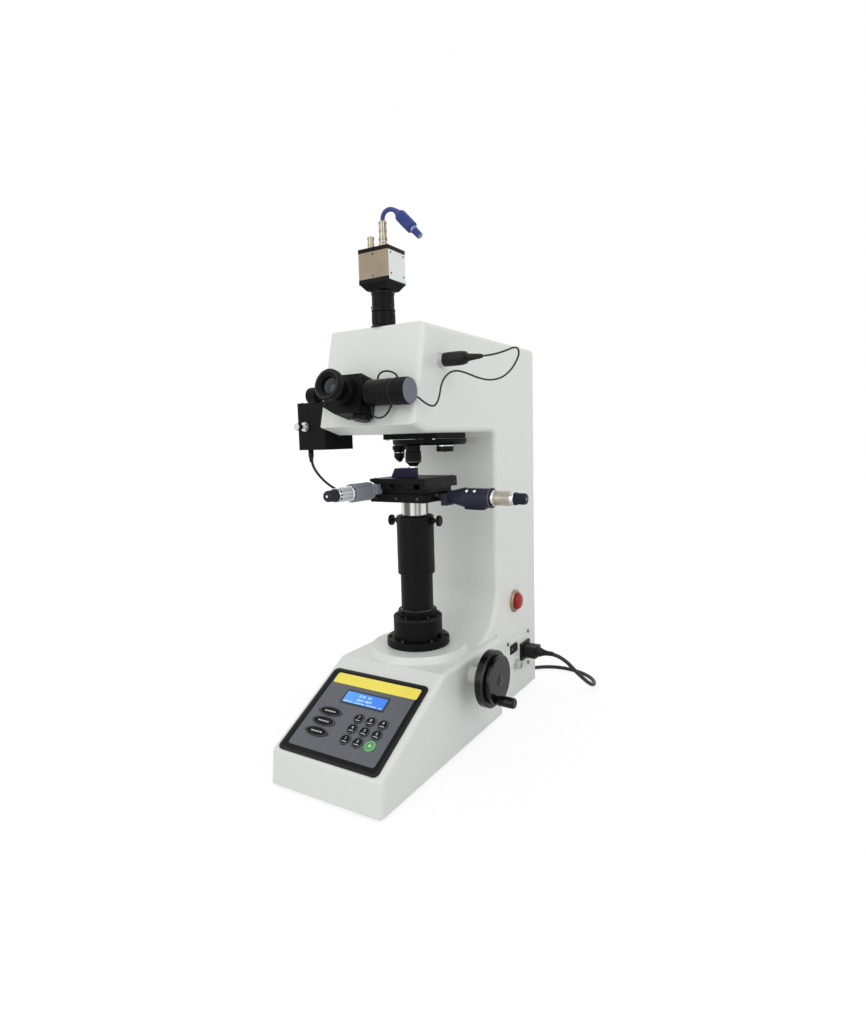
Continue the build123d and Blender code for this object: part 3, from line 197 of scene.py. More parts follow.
class Finish:
    """A procedural material on Object coordinates."""

    def __init__(self, name):
        self.material = bpy.data.materials.new(name)
        self.material.use_nodes = True
        self.tree = self.material.node_tree
        self.shader = self.tree.nodes["Principled BSDF"]
        self.place = Wire(self, self.tree.nodes.new("ShaderNodeTexCoord").outputs["Object"])

    def node(self, kind, settings, *values, output=0, **named):
        """Adds a node: first its settings, then its sockets' values or links."""
        made = self.tree.nodes.new(kind)
        for key, value in settings.items():
            if key == "stops":
                while len(made.color_ramp.elements) < len(value):
                    made.color_ramp.elements.new(0.5)
                for element, (position, tint) in zip(made.color_ramp.elements, value):
                    element.position = position
                    element.color = (*tint, 1.0)
            else:
                setattr(made, key, value)
        for index, value in enumerate(values):
            self.feed(made.inputs[index], value)
        for key, value in named.items():
            self.feed(made.inputs[key.replace("_", " ")], value)
        return Wire(self, made.outputs[output])

    def feed(self, socket, value):
        if isinstance(value, Wire):
            self.tree.links.new(value.output, socket)
        elif hasattr(value, "__len__") and len(value) == 3 and len(socket.default_value) == 4:
            socket.default_value = (*value, 1.0)
        else:
            socket.default_value = value

    def put(self, **values):
        """Sets the shader's own sockets."""
        for key, value in values.items():
            self.feed(self.shader.inputs[key.replace("_", " ")], value)
        return self

    def stretched(self, x, y, z):
        return self.node("ShaderNodeMapping", {}, Vector=self.place, Scale=(x, y, z))

    def noise(self, scale, detail=3.0, roughness=0.5, where=None):
        return self.node("ShaderNodeTexNoise", {}, Vector=where or self.place, Scale=scale,
                         Detail=detail, Roughness=roughness)

    def cells(self, scale):
        return self.node("ShaderNodeTexVoronoi", {}, Vector=self.place, Scale=scale, output="Distance")

    def axis(self, index):
        return self.node("ShaderNodeSeparateXYZ", {}, self.place, output=index)

    def blend(self, share, first, second):
        made = self.tree.nodes.new("ShaderNodeMix")
        made.data_type = "RGBA"
        self.feed(made.inputs[0], share)
        self.feed(made.inputs[6], first)
        self.feed(made.inputs[7], second)
        return Wire(self, made.outputs[2])

    def bump(self, height, depth, strength=1.0):
        """Relief of the given depth in metres."""
        normal = self.node("ShaderNodeBump", {}, Height=height, Distance=depth, Strength=strength)
        return self.put(Normal=normal)


def shade(tint, factor):
    return tuple(max(0.0, min(1.0, c * factor)) for c in tint)


# ---------------------------------------------------------------- finishes
def enamel(name, tint, gloss=0.36):
    """Sprayed enamel on a casting: faint orange peel and uneven tone."""
    f = Finish(name)
    clouds = f.noise(9.0, 4.0)
    peel = f.noise(620.0, 2.0) * 0.6 + f.noise(190.0, 2.0) * 0.4
    dust = f.cells(2600.0).between(0.0, 0.18)
    f.put(Base_Color=f.blend(clouds, shade(tint, 0.965), shade(tint, 1.02)),
          Roughness=clouds * 0.08 + dust * 0.03 + (gloss - 0.07), Coat_Weight=0.18, Coat_Roughness=0.25)
    return f.bump(peel, 0.00012, 0.55).material


def anodised(name, tint, gloss=0.42, lines=(1.0, 1.0, 1.0)):
    """Anodised aluminium: fine tool lines, faint bloom and a satin sheen."""
    f = Finish(name)
    tool = f.noise(2400.0, 2.0, 0.6, f.stretched(*lines))
    bloom = f.noise(28.0, 4.0)
    f.put(Base_Color=f.blend(bloom, shade(tint, 0.8), shade(tint, 1.25)), Specular_IOR_Level=0.14,
          Roughness=tool * 0.16 + bloom * 0.08 + (gloss - 0.12))
    return f.bump(tool, 0.00002, 0.5).material


def steel(name, tint, gloss=0.2, lines=(1.0, 1.0, 1.0), metal=1.0):
    """Ground or plated steel with fine lines round its axis."""
    f = Finish(name)
    tool = f.noise(1800.0, 2.0, 0.6, f.stretched(*lines))
    marks = f.noise(60.0, 5.0, 0.7).between(0.55, 0.8)
    f.put(Base_Color=f.blend(marks, tint, shade(tint, 0.86)), Metallic=metal,
          Roughness=tool * 0.12 + marks * 0.1 + (gloss - 0.06))
    return f.bump(tool, 0.000012, 0.6).material


def polished(name, tint, stops):
    """Polished rod with painted reflections: grey bands lengthways round Z stand in for reflections of the
    studio; stops are (turn, grey) round Z from -180 degrees.
    """
    f = Finish(name)
    turn = f.axis(1).maths("ARCTAN2", f.axis(1), f.axis(0)) / (2 * pi) + 0.5
    # painted reflections: grey bands by the turn round Z
    bands = f.node("ShaderNodeValToRGB",
                   {"stops": [((a + 180) / 360, (g, g * 0.98, g * 0.95)) for a, g in stops]}, turn)
    tool = f.noise(1400.0, 2.0, 0.6, f.stretched(1.0, 1.0, 0.04))
    f.put(Base_Color=f.blend(tool * 0.12, bands, tint), Metallic=1.0, Roughness=tool * 0.06 + 0.12)
    return f.bump(tool, 0.000006, 0.4).material


def moulded(name, tint, gloss=0.45, grain=1500.0):
    """Moulded plastic with a fine spark-eroded grain."""
    f = Finish(name)
    skin = f.cells(grain)
    clouds = f.noise(40.0, 3.0)
    f.put(Base_Color=f.blend(clouds, shade(tint, 0.85), shade(tint, 1.2)), Specular_IOR_Level=0.3,
          Roughness=skin * 0.12 + clouds * 0.06 + (gloss - 0.1))
    return f.bump(skin, 0.00004, 0.5).material


def sheath(name, tint):
    """Extruded cable sheath with a soft sheen and faint rub marks."""
    f = Finish(name)
    rubs = f.noise(260.0, 4.0, 0.65)
    f.put(Base_Color=f.blend(rubs.between(0.35, 0.75), shade(tint, 0.85), shade(tint, 1.5)),
          Roughness=rubs * 0.2 + 0.38)
    return f.bump(f.noise(900.0, 2.0), 0.00003, 0.5).material


def film(name, tint, gloss=0.42):
    """Printed polyester film with a fine texture."""
    f = Finish(name)
    tooth = f.cells(3200.0)
    clouds = f.noise(14.0, 3.0)
    f.put(Base_Color=f.blend(clouds, shade(tint, 0.94), shade(tint, 1.05)),
          Roughness=tooth * 0.1 + (gloss - 0.04), Coat_Weight=0.25, Coat_Roughness=0.2)
    return f.bump(tooth, 0.00002, 0.4).material


def lit(name, tint, level, across=None):
    """Lit surface; across gives (axis, low, high, far tint) for a glow that fades along the piece."""
    f = Finish(name)
    face = tint
    if across:
        axis, low, high, far = across
        face = f.blend(f.axis(axis).between(low, high), tint, far)
    f.put(Base_Color=face, Emission_Color=face, Emission_Strength=level, Roughness=0.22, Coat_Weight=0.4,
          Coat_Roughness=0.08)
    return f.bump(f.cells(2600.0), 0.00001, 0.2).material


def optic(name, tint):
    """Coated lens with a tint that shifts over it."""
    f = Finish(name)
    rings = f.noise(300.0, 1.0)
    f.put(Base_Color=f.blend(rings, shade(tint, 0.7), shade(tint, 1.6)), Roughness=rings * 0.03 + 0.03,
          Coat_Weight=0.25, Coat_Roughness=0.02, Specular_IOR_Level=0.35)
    return f.material


def paint(name, tint, gloss=0.5):
    """Filled engraving or print."""
    f = Finish(name)
    specks = f.noise(1200.0, 2.0)
    f.put(Base_Color=f.blend(specks, shade(tint, 0.92), tint), Roughness=specks * 0.1 + gloss - 0.05)
    return f.bump(specks, 0.00001, 0.3).material


def dress(material, *nodes):
    """Gives CAD nodes a finish."""
    for name in nodes:
        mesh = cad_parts[name].data
        mesh.materials.clear()
        mesh.materials.append(material)


# ---------------------------------------------------------------- shapes
def piece(name, bm, material, body, place=None, smooth=True):
    """Finishes a bmesh as an object at the origin, with its place in its mesh."""
    if place is not None:
        bmesh.ops.transform(bm, matrix=place, verts=bm.verts)
    bmesh.ops.remove_doubles(bm, verts=bm.verts, dist=WELD)
    bmesh.ops.recalc_face_normals(bm, faces=bm.faces)
    mesh = bpy.data.meshes.new(name)
    bm.to_mesh(mesh)
    bm.free()
    made = bpy.data.objects.new(name, mesh)
    bpy.context.scene.collection.objects.link(made)
    mesh.materials.append(material)
    if smooth:
        mesh.polygons.foreach_set("use_smooth", [True] * len(mesh.polygons))
        mesh.set_sharp_from_angle(angle=SHARP)
    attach(made, body)


def frame_at(origin, out, right=None):
    """Matrix whose Z runs along out, and whose X lies towards right."""
    z = Vector(out).normalized()
    x = Vector(right) if right else (Vector((0, 0, 1)) if abs(z.z) < 0.9 else Vector((1, 0, 0)))
    x = (x - z * x.dot(z)).normalized()
    y = z.cross(x)
    return Matrix.Translation(origin) @ Matrix((x, y, z)).transposed().to_4x4()


def lathe(bm, profile, steps=64):
    """Solid of revolution about Z from (radius, height) points."""
    verts = [bm.verts.new((r, 0, z)) for r, z in profile]
    edges = [bm.edges.new(pair) for pair in zip(verts, verts[1:])]
    bmesh.ops.spin(bm, geom=verts + edges, cent=(0, 0, 0), axis=(0, 0, 1), angle=2 * pi, steps=steps,
                   use_merge=True)
    bmesh.ops.remove_doubles(bm, verts=bm.verts, dist=WELD)
    return bm


def turned(profile, steps=64):
    return lathe(bmesh.new(), profile, steps)


def outline(width, height, radius, at=(0.0, 0.0), segments=6):
    """Rounded rectangle as a single face on Z = 0."""
    bm = bmesh.new()
    bmesh.ops.create_grid(bm, x_segments=1, y_segments=1, size=0.5)
    bmesh.ops.scale(bm, vec=(width, height, 1), verts=bm.verts)
    bmesh.ops.bevel(bm, geom=bm.verts[:], offset=radius, offset_type="OFFSET", segments=segments, profile=0.5,
                    affect="VERTICES", material=-1)
    bmesh.ops.translate(bm, vec=(*at, 0), verts=bm.verts)
    return bm


def plate(width, height, radius, thickness, edge=0.0):
    """Flat plate with rounded corners, its back on Z = 0."""
    return thicken(outline(width, height, radius, segments=8), thickness, edge)


def thicken(bm, thickness, edge):
    bottom = bm.faces[:]
    made = bmesh.ops.extrude_face_region(bm, geom=bottom, use_keep_orig=True)
    top = [g for g in made["geom"] if isinstance(g, bmesh.types.BMVert)]
    bmesh.ops.translate(bm, vec=(0, 0, thickness), verts=top)
    if edge:
        rim = [e for e in bm.edges if all(abs(v.co.z - thickness) < 1e-9 for v in e.verts)]
        bmesh.ops.bevel(bm, geom=rim, offset=edge, offset_type="OFFSET", segments=2, profile=0.5,
                        affect="EDGES", material=-1)
    return bm


def around(bm, geom, count):
    """Repeats geometry round Z."""
    bmesh.ops.spin(bm, geom=geom, cent=(0, 0, 0), axis=(0, 0, 1), angle=2 * pi * (count - 1) / count,
                   steps=count - 1, use_duplicate=True)


def ridges(count, radius, width, depth, low, high):
    """Straight knurl: sharp ridges round Z on a cylinder of the given radius."""
    bm = bmesh.new()
    bmesh.ops.create_cone(bm, segments=3, radius1=depth, radius2=depth, depth=high - low, cap_ends=True)
    bmesh.ops.rotate(bm, cent=(0, 0, 0), matrix=Matrix.Rotation(-pi / 2, 3, "Z"), verts=bm.verts)
    bmesh.ops.scale(bm, vec=(1.0, width / depth / 1.73, 1.0), verts=bm.verts)
    bmesh.ops.translate(bm, vec=(radius - depth * 0.35, 0, (low + high) / 2), verts=bm.verts)
    around(bm, bm.verts[:] + bm.edges[:] + bm.faces[:], count)
    return bm


def ticks(count, radius, width, low, high, long_every, long_by, raised=0.00012):
    """Graduation lines along Z round a cylinder."""
    bm = bmesh.new()
    for index in range(count):
        extra = long_by if index % long_every == 0 else 0.0
        made = bmesh.ops.create_cube(bm, size=1.0)["verts"]
        bmesh.ops.scale(bm, vec=(2 * raised, width, high - low + extra), verts=made)
        bmesh.ops.translate(bm, vec=(radius, 0, (low + high + extra) / 2), verts=made)
        bmesh.ops.rotate(bm, cent=(0, 0, 0), matrix=Matrix.Rotation(2 * pi * index / count, 3, "Z"),
                         verts=made)
    return bm


def words(text, size, thickness=0.0001):
    """Numbers or signs as a flat mesh, centred on the origin."""
    curve = bpy.data.curves.new("figures", "FONT")
    curve.body, curve.size, curve.extrude = text, size, thickness
    curve.align_x, curve.align_y = "CENTER", "CENTER"
    holder = bpy.data.objects.new("figures", curve)
    bpy.context.scene.collection.objects.link(holder)
    bpy.context.view_layer.update()
    mesh = bpy.data.meshes.new_from_object(holder)
    bpy.data.objects.remove(holder)
    bm = bmesh.new()
    bm.from_mesh(mesh)
    bpy.data.meshes.remove(mesh)
    return bm


def add(bm, other, place=None):
    """Joins another bmesh into this one."""
    if place is not None:
        bmesh.ops.transform(other, matrix=place, verts=other.verts)
    mesh = bpy.data.meshes.new("part")
    other.to_mesh(mesh)
    other.free()
    bm.from_mesh(mesh)
    bpy.data.meshes.remove(mesh)
    return bm


def move(x=0.0, y=0.0, z=0.0):
    return Matrix.Translation((x, y, z))


# ---------------------------------------------------------------- places on the tester
LEAN = radians(14.08)      # slope of the head's face
WHEEL_Z = 109.4            # millimetres from here on
CRANK = (-13.3, 83.4)
STAGE_Z = 385
TABLE_SCREW = (-50, 396)
TABLE_TOP, REST_TOP = 415, 429
TURRET_Y, STATION_RADIUS = 50, 50
CAMERA = (4.2, -73.7)
PORT_Y = -78.7
WALL_X = 85.0
SOCKET = (-48.7, 584)
INLET = (230, 78)
STOP = (193, 180)
MAINS_PLUG = (-63.5, 312.0, 12.0)


def on_face(u, v, d):
    """Point on the sloping face of the head, from millimetres along, up and out of it."""
    return Vector((u, -125 + v * sin(LEAN) - d * cos(LEAN), 493.5 + v * cos(LEAN) + d * sin(LEAN))) * MM


def face_axis(u, v, d):
    """Matrix whose Z points out of the sloping face and whose Y points up it."""
    return Matrix.Translation(on_face(u, v, d)) @ Matrix.Rotation(pi / 2 - LEAN, 4, "X")


def to_right(x, y, z):
    return frame_at(Vector((x, y, z)) * MM, (1, 0, 0))


def to_left(x, y, z):
    return frame_at(Vector((x, y, z)) * MM, (-1, 0, 0))


def to_front(x, y, z):
    return frame_at(Vector((x, y, z)) * MM, (0, -1, 0))


def to_back(x, y, z):
    return frame_at(Vector((x, y, z)) * MM, (0, 1, 0))


def upright(x, y, z):
    return move(x * MM, y * MM, z * MM)


def on_slope(x, up):
    """Matrix on the base's slope: X right, Y up the slope, Z out of it; millimetres."""
    s = bpy.context.scene.tester_slope
    run, rise = s.high_y - s.low_y, s.high_z - s.low_z
    tilt = atan2(rise, run)
    origin = Vector((x * MM, s.low_y + cos(tilt) * up * MM, s.low_z + sin(tilt) * up * MM))
    return Matrix.Translation(origin) @ Matrix.Rotation(tilt, 4, "X")


# ---------------------------------------------------------------- cords
ENCODER_LOOP = [(29, 18.7, 22), (29, 9.5, 22), (36, 5, 18), (42, 8, 12.5), (45.5, 15, 8), (48.5, 25, 6.7),
                (50.5, 35, 3), (52.5, 46, 2.4), (54.5, 57, 4.5), (55, 65, 8), (51, 69.5, 13),
                (42.5, 71, 17.5), (33.5, 68.5, 19.5), (27.5, 62, 16.5), (25, 55.5, 8.5), (24.3, 46, 2.4),
                (29, 35.5, 1.6), (38.5, 30, 1.6), (50, 28.6, 1.6), (62, 30.5, 1.6), (73, 34.8, 1.8)]
ENCODER_ROUTE = [(84.5, -117.3, 531.2), (91, -112.3, 523.5), (95.5, -103.5, 518), (98, -93.5, 517.5),
                 (99, -86, 525), (99.5, -81.5, 535.5), (100, -78.5, 547), (102, -72, 557.5),
                 (105, -61.5, 565), (110, -50, 567.5), (117, -36.5, 564.5), (126, -22, 558.5),
                 (138, -8, 554.5), (151, 4, 557.5), (163, 8.5, 566.5), (173, 7.5, 578.5), (180.5, 2.5, 589),
                 (182.5, -7, 596.5), (180, -19, 595.5), (176, -33, 590), (163, -48.7, 584),
                 (148, -48.7, 584)]
SENSOR_ROUTE = [(-127, -94, 455.5), (-127, -94, 441), (-122.5, -87, 424.5), (-113, -78, 409.5),
                (-101, -69, 398.5), (-92, -55, 390.5), (-86, -38, 386.5), (-76, -20, 385), (-61, -20, 385)]
MAINS_ROUTE = [(128, 230, 78), (146, 230, 78), (165, 235, 67), (178, 245, 48), (189, 258, 31),
               (196, 275, 16), (197, 297, 6.5), (190, 322, 3.7), (172, 343, 3.7), (146, 357, 3.7),
               (116, 363, 3.7), (89, 357.5, 3.7), (68, 343.5, 3.7), (54.3, 328.4, 3.7)]
PIGTAIL_ROUTE = [(11.3, -78.7, 778), (11.3, -78.7, 785), (17.5, -78.7, 791), (27, -78.7, 791.3),
                 (34.4, -78.7, 786.8), (39, -78.7, 782)]
COIL_TAIL = [(-36, 307, 11.6), (-47, 311, 12), (-62, 312, 12)]
COIL_PLACE = (-6.0, 349.0)
ENCODER_LENGTH, SENSOR_LENGTH, PIGTAIL_LENGTH = 0.5044, 0.142, 0.0395   # metres


def coil_turns(radius, pitch):
    """Points of the wound coil: three turns inwards on the floor, then outwards on top of them."""
    points, count, start = [], 16, -42
    for index in range(round(count * (5 + 68 / 360)) + 1):
        turn = index / count
        swing = radians(start - 360 * turn)
        whole, part = int(turn), turn % 1
        ease = max(0.0, (part - 0.7) / 0.3)
        lanes = [radius + pitch, radius, radius - pitch, radius - pitch, radius, radius + pitch]
        lane = lanes[whole] + (lanes[min(whole + 1, 5)] - lanes[whole]) * ease
        level = 3.6 + (7.0 * ease if whole == 2 else 7.0 if whole > 2 else 0.0)
        loose = 0.5 * sin(2.3 * turn * pi) + 0.35 * sin(5.1 * turn)
        points.append((COIL_PLACE[0] + (lane + loose) * cos(swing),
                       COIL_PLACE[1] + (lane + loose) * sin(swing), level))
    return points


def cord_line(name, points, diameter, material):
    """Round cord on one smooth spline."""
    curve = bpy.data.curves.new(name, "CURVE")
    curve.dimensions = "3D"
    curve.bevel_depth, curve.bevel_resolution, curve.resolution_u = diameter / 2, 5, 6
    curve.use_fill_caps = True
    spline = curve.splines.new("NURBS")
    spline.points.add(len(points) - 1)
    for target, place in zip(spline.points, points):
        target.co = (*(Vector(place) * MM), 1.0)
    spline.order_u = 3
    spline.use_endpoint_u = True
    curve.materials.append(material)
    made = bpy.data.objects.new(name, curve)
    bpy.context.scene.collection.objects.link(made)
    return made


def as_tube(cord):
    """Swaps a cord's curve for its mesh, and returns the mesh object and the points it follows."""
    name, curve = cord.name, cord.data
    depth, curve.bevel_depth = curve.bevel_depth, 0.0
    bpy.context.view_layer.update()
    line = bpy.data.meshes.new_from_object(cord.evaluated_get(bpy.context.evaluated_depsgraph_get()))
    path = [tuple(v.co) for v in line.vertices]
    curve.bevel_depth = depth
    bpy.context.view_layer.update()
    tube = bpy.data.meshes.new_from_object(cord.evaluated_get(bpy.context.evaluated_depsgraph_get()))
    tube.materials.clear()
    tube.materials.append(curve.materials[0])
    bpy.data.objects.remove(cord)
    bpy.data.meshes.remove(line)
    bm = bmesh.new()
    bm.from_mesh(tube)
    bmesh.ops.remove_doubles(bm, verts=bm.verts, dist=1e-6)
    bmesh.ops.recalc_face_normals(bm, faces=bm.faces)
    bm.to_mesh(tube)
    bm.free()
    tube.polygons.foreach_set("use_smooth", [True] * len(tube.polygons))
    made = bpy.data.objects.new(name, tube)
    bpy.context.scene.collection.objects.link(made)
    return made, path


class TESTER_OT_cords(bpy.types.Operator):
    """Lay the encoder, sensor, camera and mains cords"""
    bl_idname = "tester.cords"
    bl_label = "Cords"

    def execute(self, context):
        sizes, tints = context.scene.tester_cords, context.scene.tester_colours
        black = sheath("cord_sheath", tints.cable)
        blue = sheath("camera_lead_sheath", tints.lead)
        coil = coil_turns(sizes.coil_radius / MM, sizes.mains / MM)
        rows = (
            ("encoder_lead", [on_face(*p) / MM for p in ENCODER_LOOP] + ENCODER_ROUTE, sizes.encoder,
             ENCODER_LENGTH, black, ["encoder_cord"], "medium", "loose", "object", ["din_plug"]),
            ("sensor_lead", SENSOR_ROUTE, sizes.sensor, SENSOR_LENGTH, black, ["sensor_cord"], "medium",
             "hanging", "object", ["sensor_plug"]),
            ("camera_lead", PIGTAIL_ROUTE, sizes.pigtail, PIGTAIL_LENGTH, blue, ["camera_pigtail"], "stiff",
             "loose", "connector", ["inline_connector"]),
            ("mains_lead", MAINS_ROUTE + coil + COIL_TAIL, sizes.mains, sizes.mains_length, black,
             ["mains_cord_run", "mains_cord_coil"], "medium", "coiled", "plug",
             ["inlet_plug", "mains_plug"]))
        for name, route, diameter, whole, material, nodes, stiffness, lay, end, fittings in rows:
            made, options = cord_line(name, route, diameter, material), {}
            if name == "sensor_lead":
                made, options["path"] = as_tube(made)
                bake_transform(made)
            else:
                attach(made, "frame")
            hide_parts(*nodes)
        return {"FINISHED"}


# ---------------------------------------------------------------- finishes of the CAD nodes
class TESTER_OT_finishes(bpy.types.Operator):
    """Give every solid of the tester its finish"""
    bl_idname = "tester.finishes"
    bl_label = "Finishes"

    def execute(self, context):
        t = context.scene.tester_colours
        body = enamel("casting_enamel", t.enamel)
        cover = enamel("cover_enamel", shade(t.enamel, 0.95), 0.42)
        black = anodised("black_anodised", t.anodised)
        soft_black = anodised("black_anodised_matt", shade(t.anodised, 0.8), 0.5)
        navy = anodised("dark_blue_anodised", t.navy, 0.4)
        grey = anodised("grey_enamelled", t.grey, 0.45)
        # painted reflections: grey bands round the lifting screw stand in for bright and dark reflections of
        # the studio
        bands = [(-180, 0.30), (-146, 0.10), (-138, 0.92), (-112, 0.95), (-104, 0.16), (-80, 0.12),
                 (-72, 0.95), (-60, 0.90), (-55, 0.20), (-50, 0.62), (-42, 0.60), (-36, 0.14), (-27, 0.92),
                 (-6, 0.95), (2, 0.14), (30, 0.10), (60, 0.85), (100, 0.25), (150, 0.80), (180, 0.30)]
        reflection_banded_steel = polished("lifting_screw_painted_reflections", t.steel, bands)
        shaft_steel = steel("shaft_steel", t.steel, 0.2, (1.0, 0.05, 0.05))
        bright = steel("plated_steel", shade(t.steel, 1.04), 0.14)
        plastic = moulded("black_plastic", linear("121214"))
        gloss = moulded("gloss_black", linear("060607"), 0.2, 900.0)
        bronze = steel("bronze", t.brass, 0.3)
        dress(body, "base_casting", "column_casting")
        dress(cover, "rear_cover")
        # dark underside: its own dark paint, and painted shade of the gap under the base
        dress(moulded("underside_paint_and_gap_shade", linear("2B2B2B"), 0.6, 500.0), "bottom_plate")
        dress(moulded("bezel_plastic", linear("08080A"), 0.34), "panel_bezel")
        dress(film("keypad_film", t.overlay), "membrane_keypad")
        dress(soft_black, "gear_housing", "lock_ring", "turret_mount", "turret_disc", "eyepiece_block",
              "interface_box", "camera_plates", "stage_base", "camera_tube")
        dress(black, "guide_tube", "guard_sleeve", "encoder_housing", "objectives", "left_knob", "clamp_knob",
              "stage_top", "eyepiece", "encoder_knob")
        dress(anodised("slide_black", shade(t.anodised, 0.7), 0.45), "x_slide")
        dress(navy, "specimen_rest")
        dress(anodised("charcoal_anodised", linear("2B2C3A"), 0.36), "x_micrometer")
        dress(grey, "y_micrometer")
        dress(reflection_banded_steel, "lifting_screw")
        dress(shaft_steel, "handwheel_shaft")
        dress(bright, "box_screw")
        dress(steel("port_shell", linear("B0A795"), 0.22, (1.0, 1.0, 0.05)), "camera_ports")
        dress(anodised("indenter_black", t.anodised, 0.3), "indenter")
        dress(steel("blackened_steel", linear("4A4A4B"), 0.3), "screws")
        dress(steel("cross_thimble_steel", linear("B4AFA2"), 0.3, (1.0, 0.03, 0.03), 0.5), "x_thimble")
        dress(steel("table_thimble_steel", linear("E6E9EE"), 0.34, (0.03, 1.0, 0.03), 0.2), "y_thimble")
        dress(bronze, "bushes", "lifting_nut")
        dress(gloss, "handwheel", "crank_handle")
        dress(plastic, "thumbscrew_left", "thumbscrew_right", "din_plug", "sensor_plug", "inlet_plug",
              "mains_plug", "power_inlet", "power_rocker")
        dress(steel("fitting_plating", linear("BFC1BF"), 0.3, (1.0, 1.0, 1.0), 0.7), "side_fittings")
        dress(steel("collar_bronze", linear("A5907A"), 0.32), "stop_collar")
        dress(moulded("stop_red", shade(t.button, 0.55), 0.14, 700.0), "stop_button")
        dress(enamel("power_plate_enamel", shade(t.enamel, 1.02), 0.34), "power_plate")
        # painted shade: the case colour is darkened to the tone of the camera's shaded front
        dress(anodised("camera_case_painted_shade", shade(t.camera, 0.6), 0.4, (1.0, 1.0, 0.05)), "camera_body")
        dress(moulded("connector_blue", t.lead, 0.38), "inline_connector")
        dress(sheath("plain_cord", t.cable), "mains_cord_run", "mains_cord_coil", "encoder_cord",
              "sensor_cord", "camera_pigtail")
        return {"FINISHED"}


# ---------------------------------------------------------------- small parts used by several groups
def disc(radius, thickness, edge=0.0002, steps=48):
    return turned([(0, 0), (radius, 0), (radius, thickness - edge), (radius - edge, thickness),
                   (0, thickness)], steps)


def ring(inner, outer, low, high, edge=0.0002, steps=64):
    return turned([(inner, low), (outer, low), (outer, high - edge), (outer - edge, high), (inner, high),
                   (inner, low)], steps)


def knurled(radius, low, high, count, depth=0.0003, share=0.62, steps=72):
    """Sleeve with straight knurling between its two plain ends."""
    bm = ring(radius - 0.0006, radius, low, high, 0.0003, steps)
    return add(bm, ridges(count, radius, 2 * pi * radius / count * share, depth, low + 0.0006, high - 0.0006))


def hex_screw(radius, height):
    """Socket head with a broken edge and a sunk hexagon."""
    bm = turned([(0, 0), (radius, 0), (radius, height * 0.85), (radius * 0.9, height),
                 (radius * 0.62, height)], 24)
    made = bmesh.ops.create_circle(bm, cap_ends=False, segments=6, radius=radius * 0.55)["verts"]
    bmesh.ops.translate(bm, vec=(0, 0, height), verts=made)
    hexagon = list({e for v in made for e in v.link_edges})
    rim = [e for e in bm.edges if e.is_boundary and e not in hexagon]
    bmesh.ops.bridge_loops(bm, edges=rim + hexagon)
    sunk = bmesh.ops.extrude_edge_only(bm, edges=hexagon)["geom"]
    low = [g for g in sunk if isinstance(g, bmesh.types.BMVert)]
    bmesh.ops.translate(bm, vec=(0, 0, -height * 0.6), verts=low)
    bmesh.ops.contextual_create(bm, geom=low)
    return bm


def cross_screw(radius):
    """Low domed head with no recess cut; its recess is the dark cross of painted shade laid in it."""
    return turned([(0, 0), (radius, 0), (radius, 0.0002), (radius * 0.8, 0.0007), (radius * 0.4, 0.00095),
                   (0, 0.001)], 24)


# painted shade: flat dark crosses stand in for the shade in the screw heads' cross recesses
def cross_recess_shades(radius):
    bm = bmesh.new()
    for size in ((radius * 1.1, radius * 0.2), (radius * 0.2, radius * 1.1)):
        made = bmesh.ops.create_cube(bm, size=1.0)["verts"]
        bmesh.ops.scale(bm, vec=(*size, 0.0004), verts=made)
        bmesh.ops.translate(bm, vec=(0, 0, 0.00085), verts=made)
    return bm


def cross_heads(name, radius, places, turn, material, recess_shade_name):
    """Cross-head screws at the given places, and the dark crosses of painted shade in their heads' recesses.
    """
    piece(name + "_screws", joined(*[(cross_screw(radius), place) for place in places]), material, "frame")
    crosses = joined(*[(cross_recess_shades(radius), place @ Matrix.Rotation(turn, 4, "Z")) for place in places])
    piece(name + "_crosses", crosses, paint(recess_shade_name, linear("2A2A2A")), "frame",
          smooth=False)


def band(outer, inner, thickness):
    """Flat border between two rounded rectangles, each (width, height, radius) and a place if off centre."""
    bm = outline(*outer)
    add(bm, outline(*inner))
    bmesh.ops.delete(bm, geom=bm.faces[:], context="FACES_ONLY")
    bmesh.ops.bridge_loops(bm, edges=bm.edges[:])
    return thicken(bm, thickness, 0.0)


def rings(*rows, steps=64):
    """Rings on one axis, each (inner, outer, low, high, edge)."""
    return joined(*[(ring(*row, steps), None) for row in rows])


def relief(steps, inner, outer, width, tail):
    """Strain relief: ribs from (height, radius) steps in millimetres, then a tapered tail."""
    bm = joined(*[(ring((r - inner) * MM, (r + outer) * MM, h * MM, (h + width) * MM, 0.0003, 32), None)
                  for h, r in steps])
    return add(bm, turned(tail, 32))


def joined(*rows):
    """One bmesh from pairs of bmesh and place."""
    bm = bmesh.new()
    for part, place in rows:
        add(bm, part, place)
    return bm


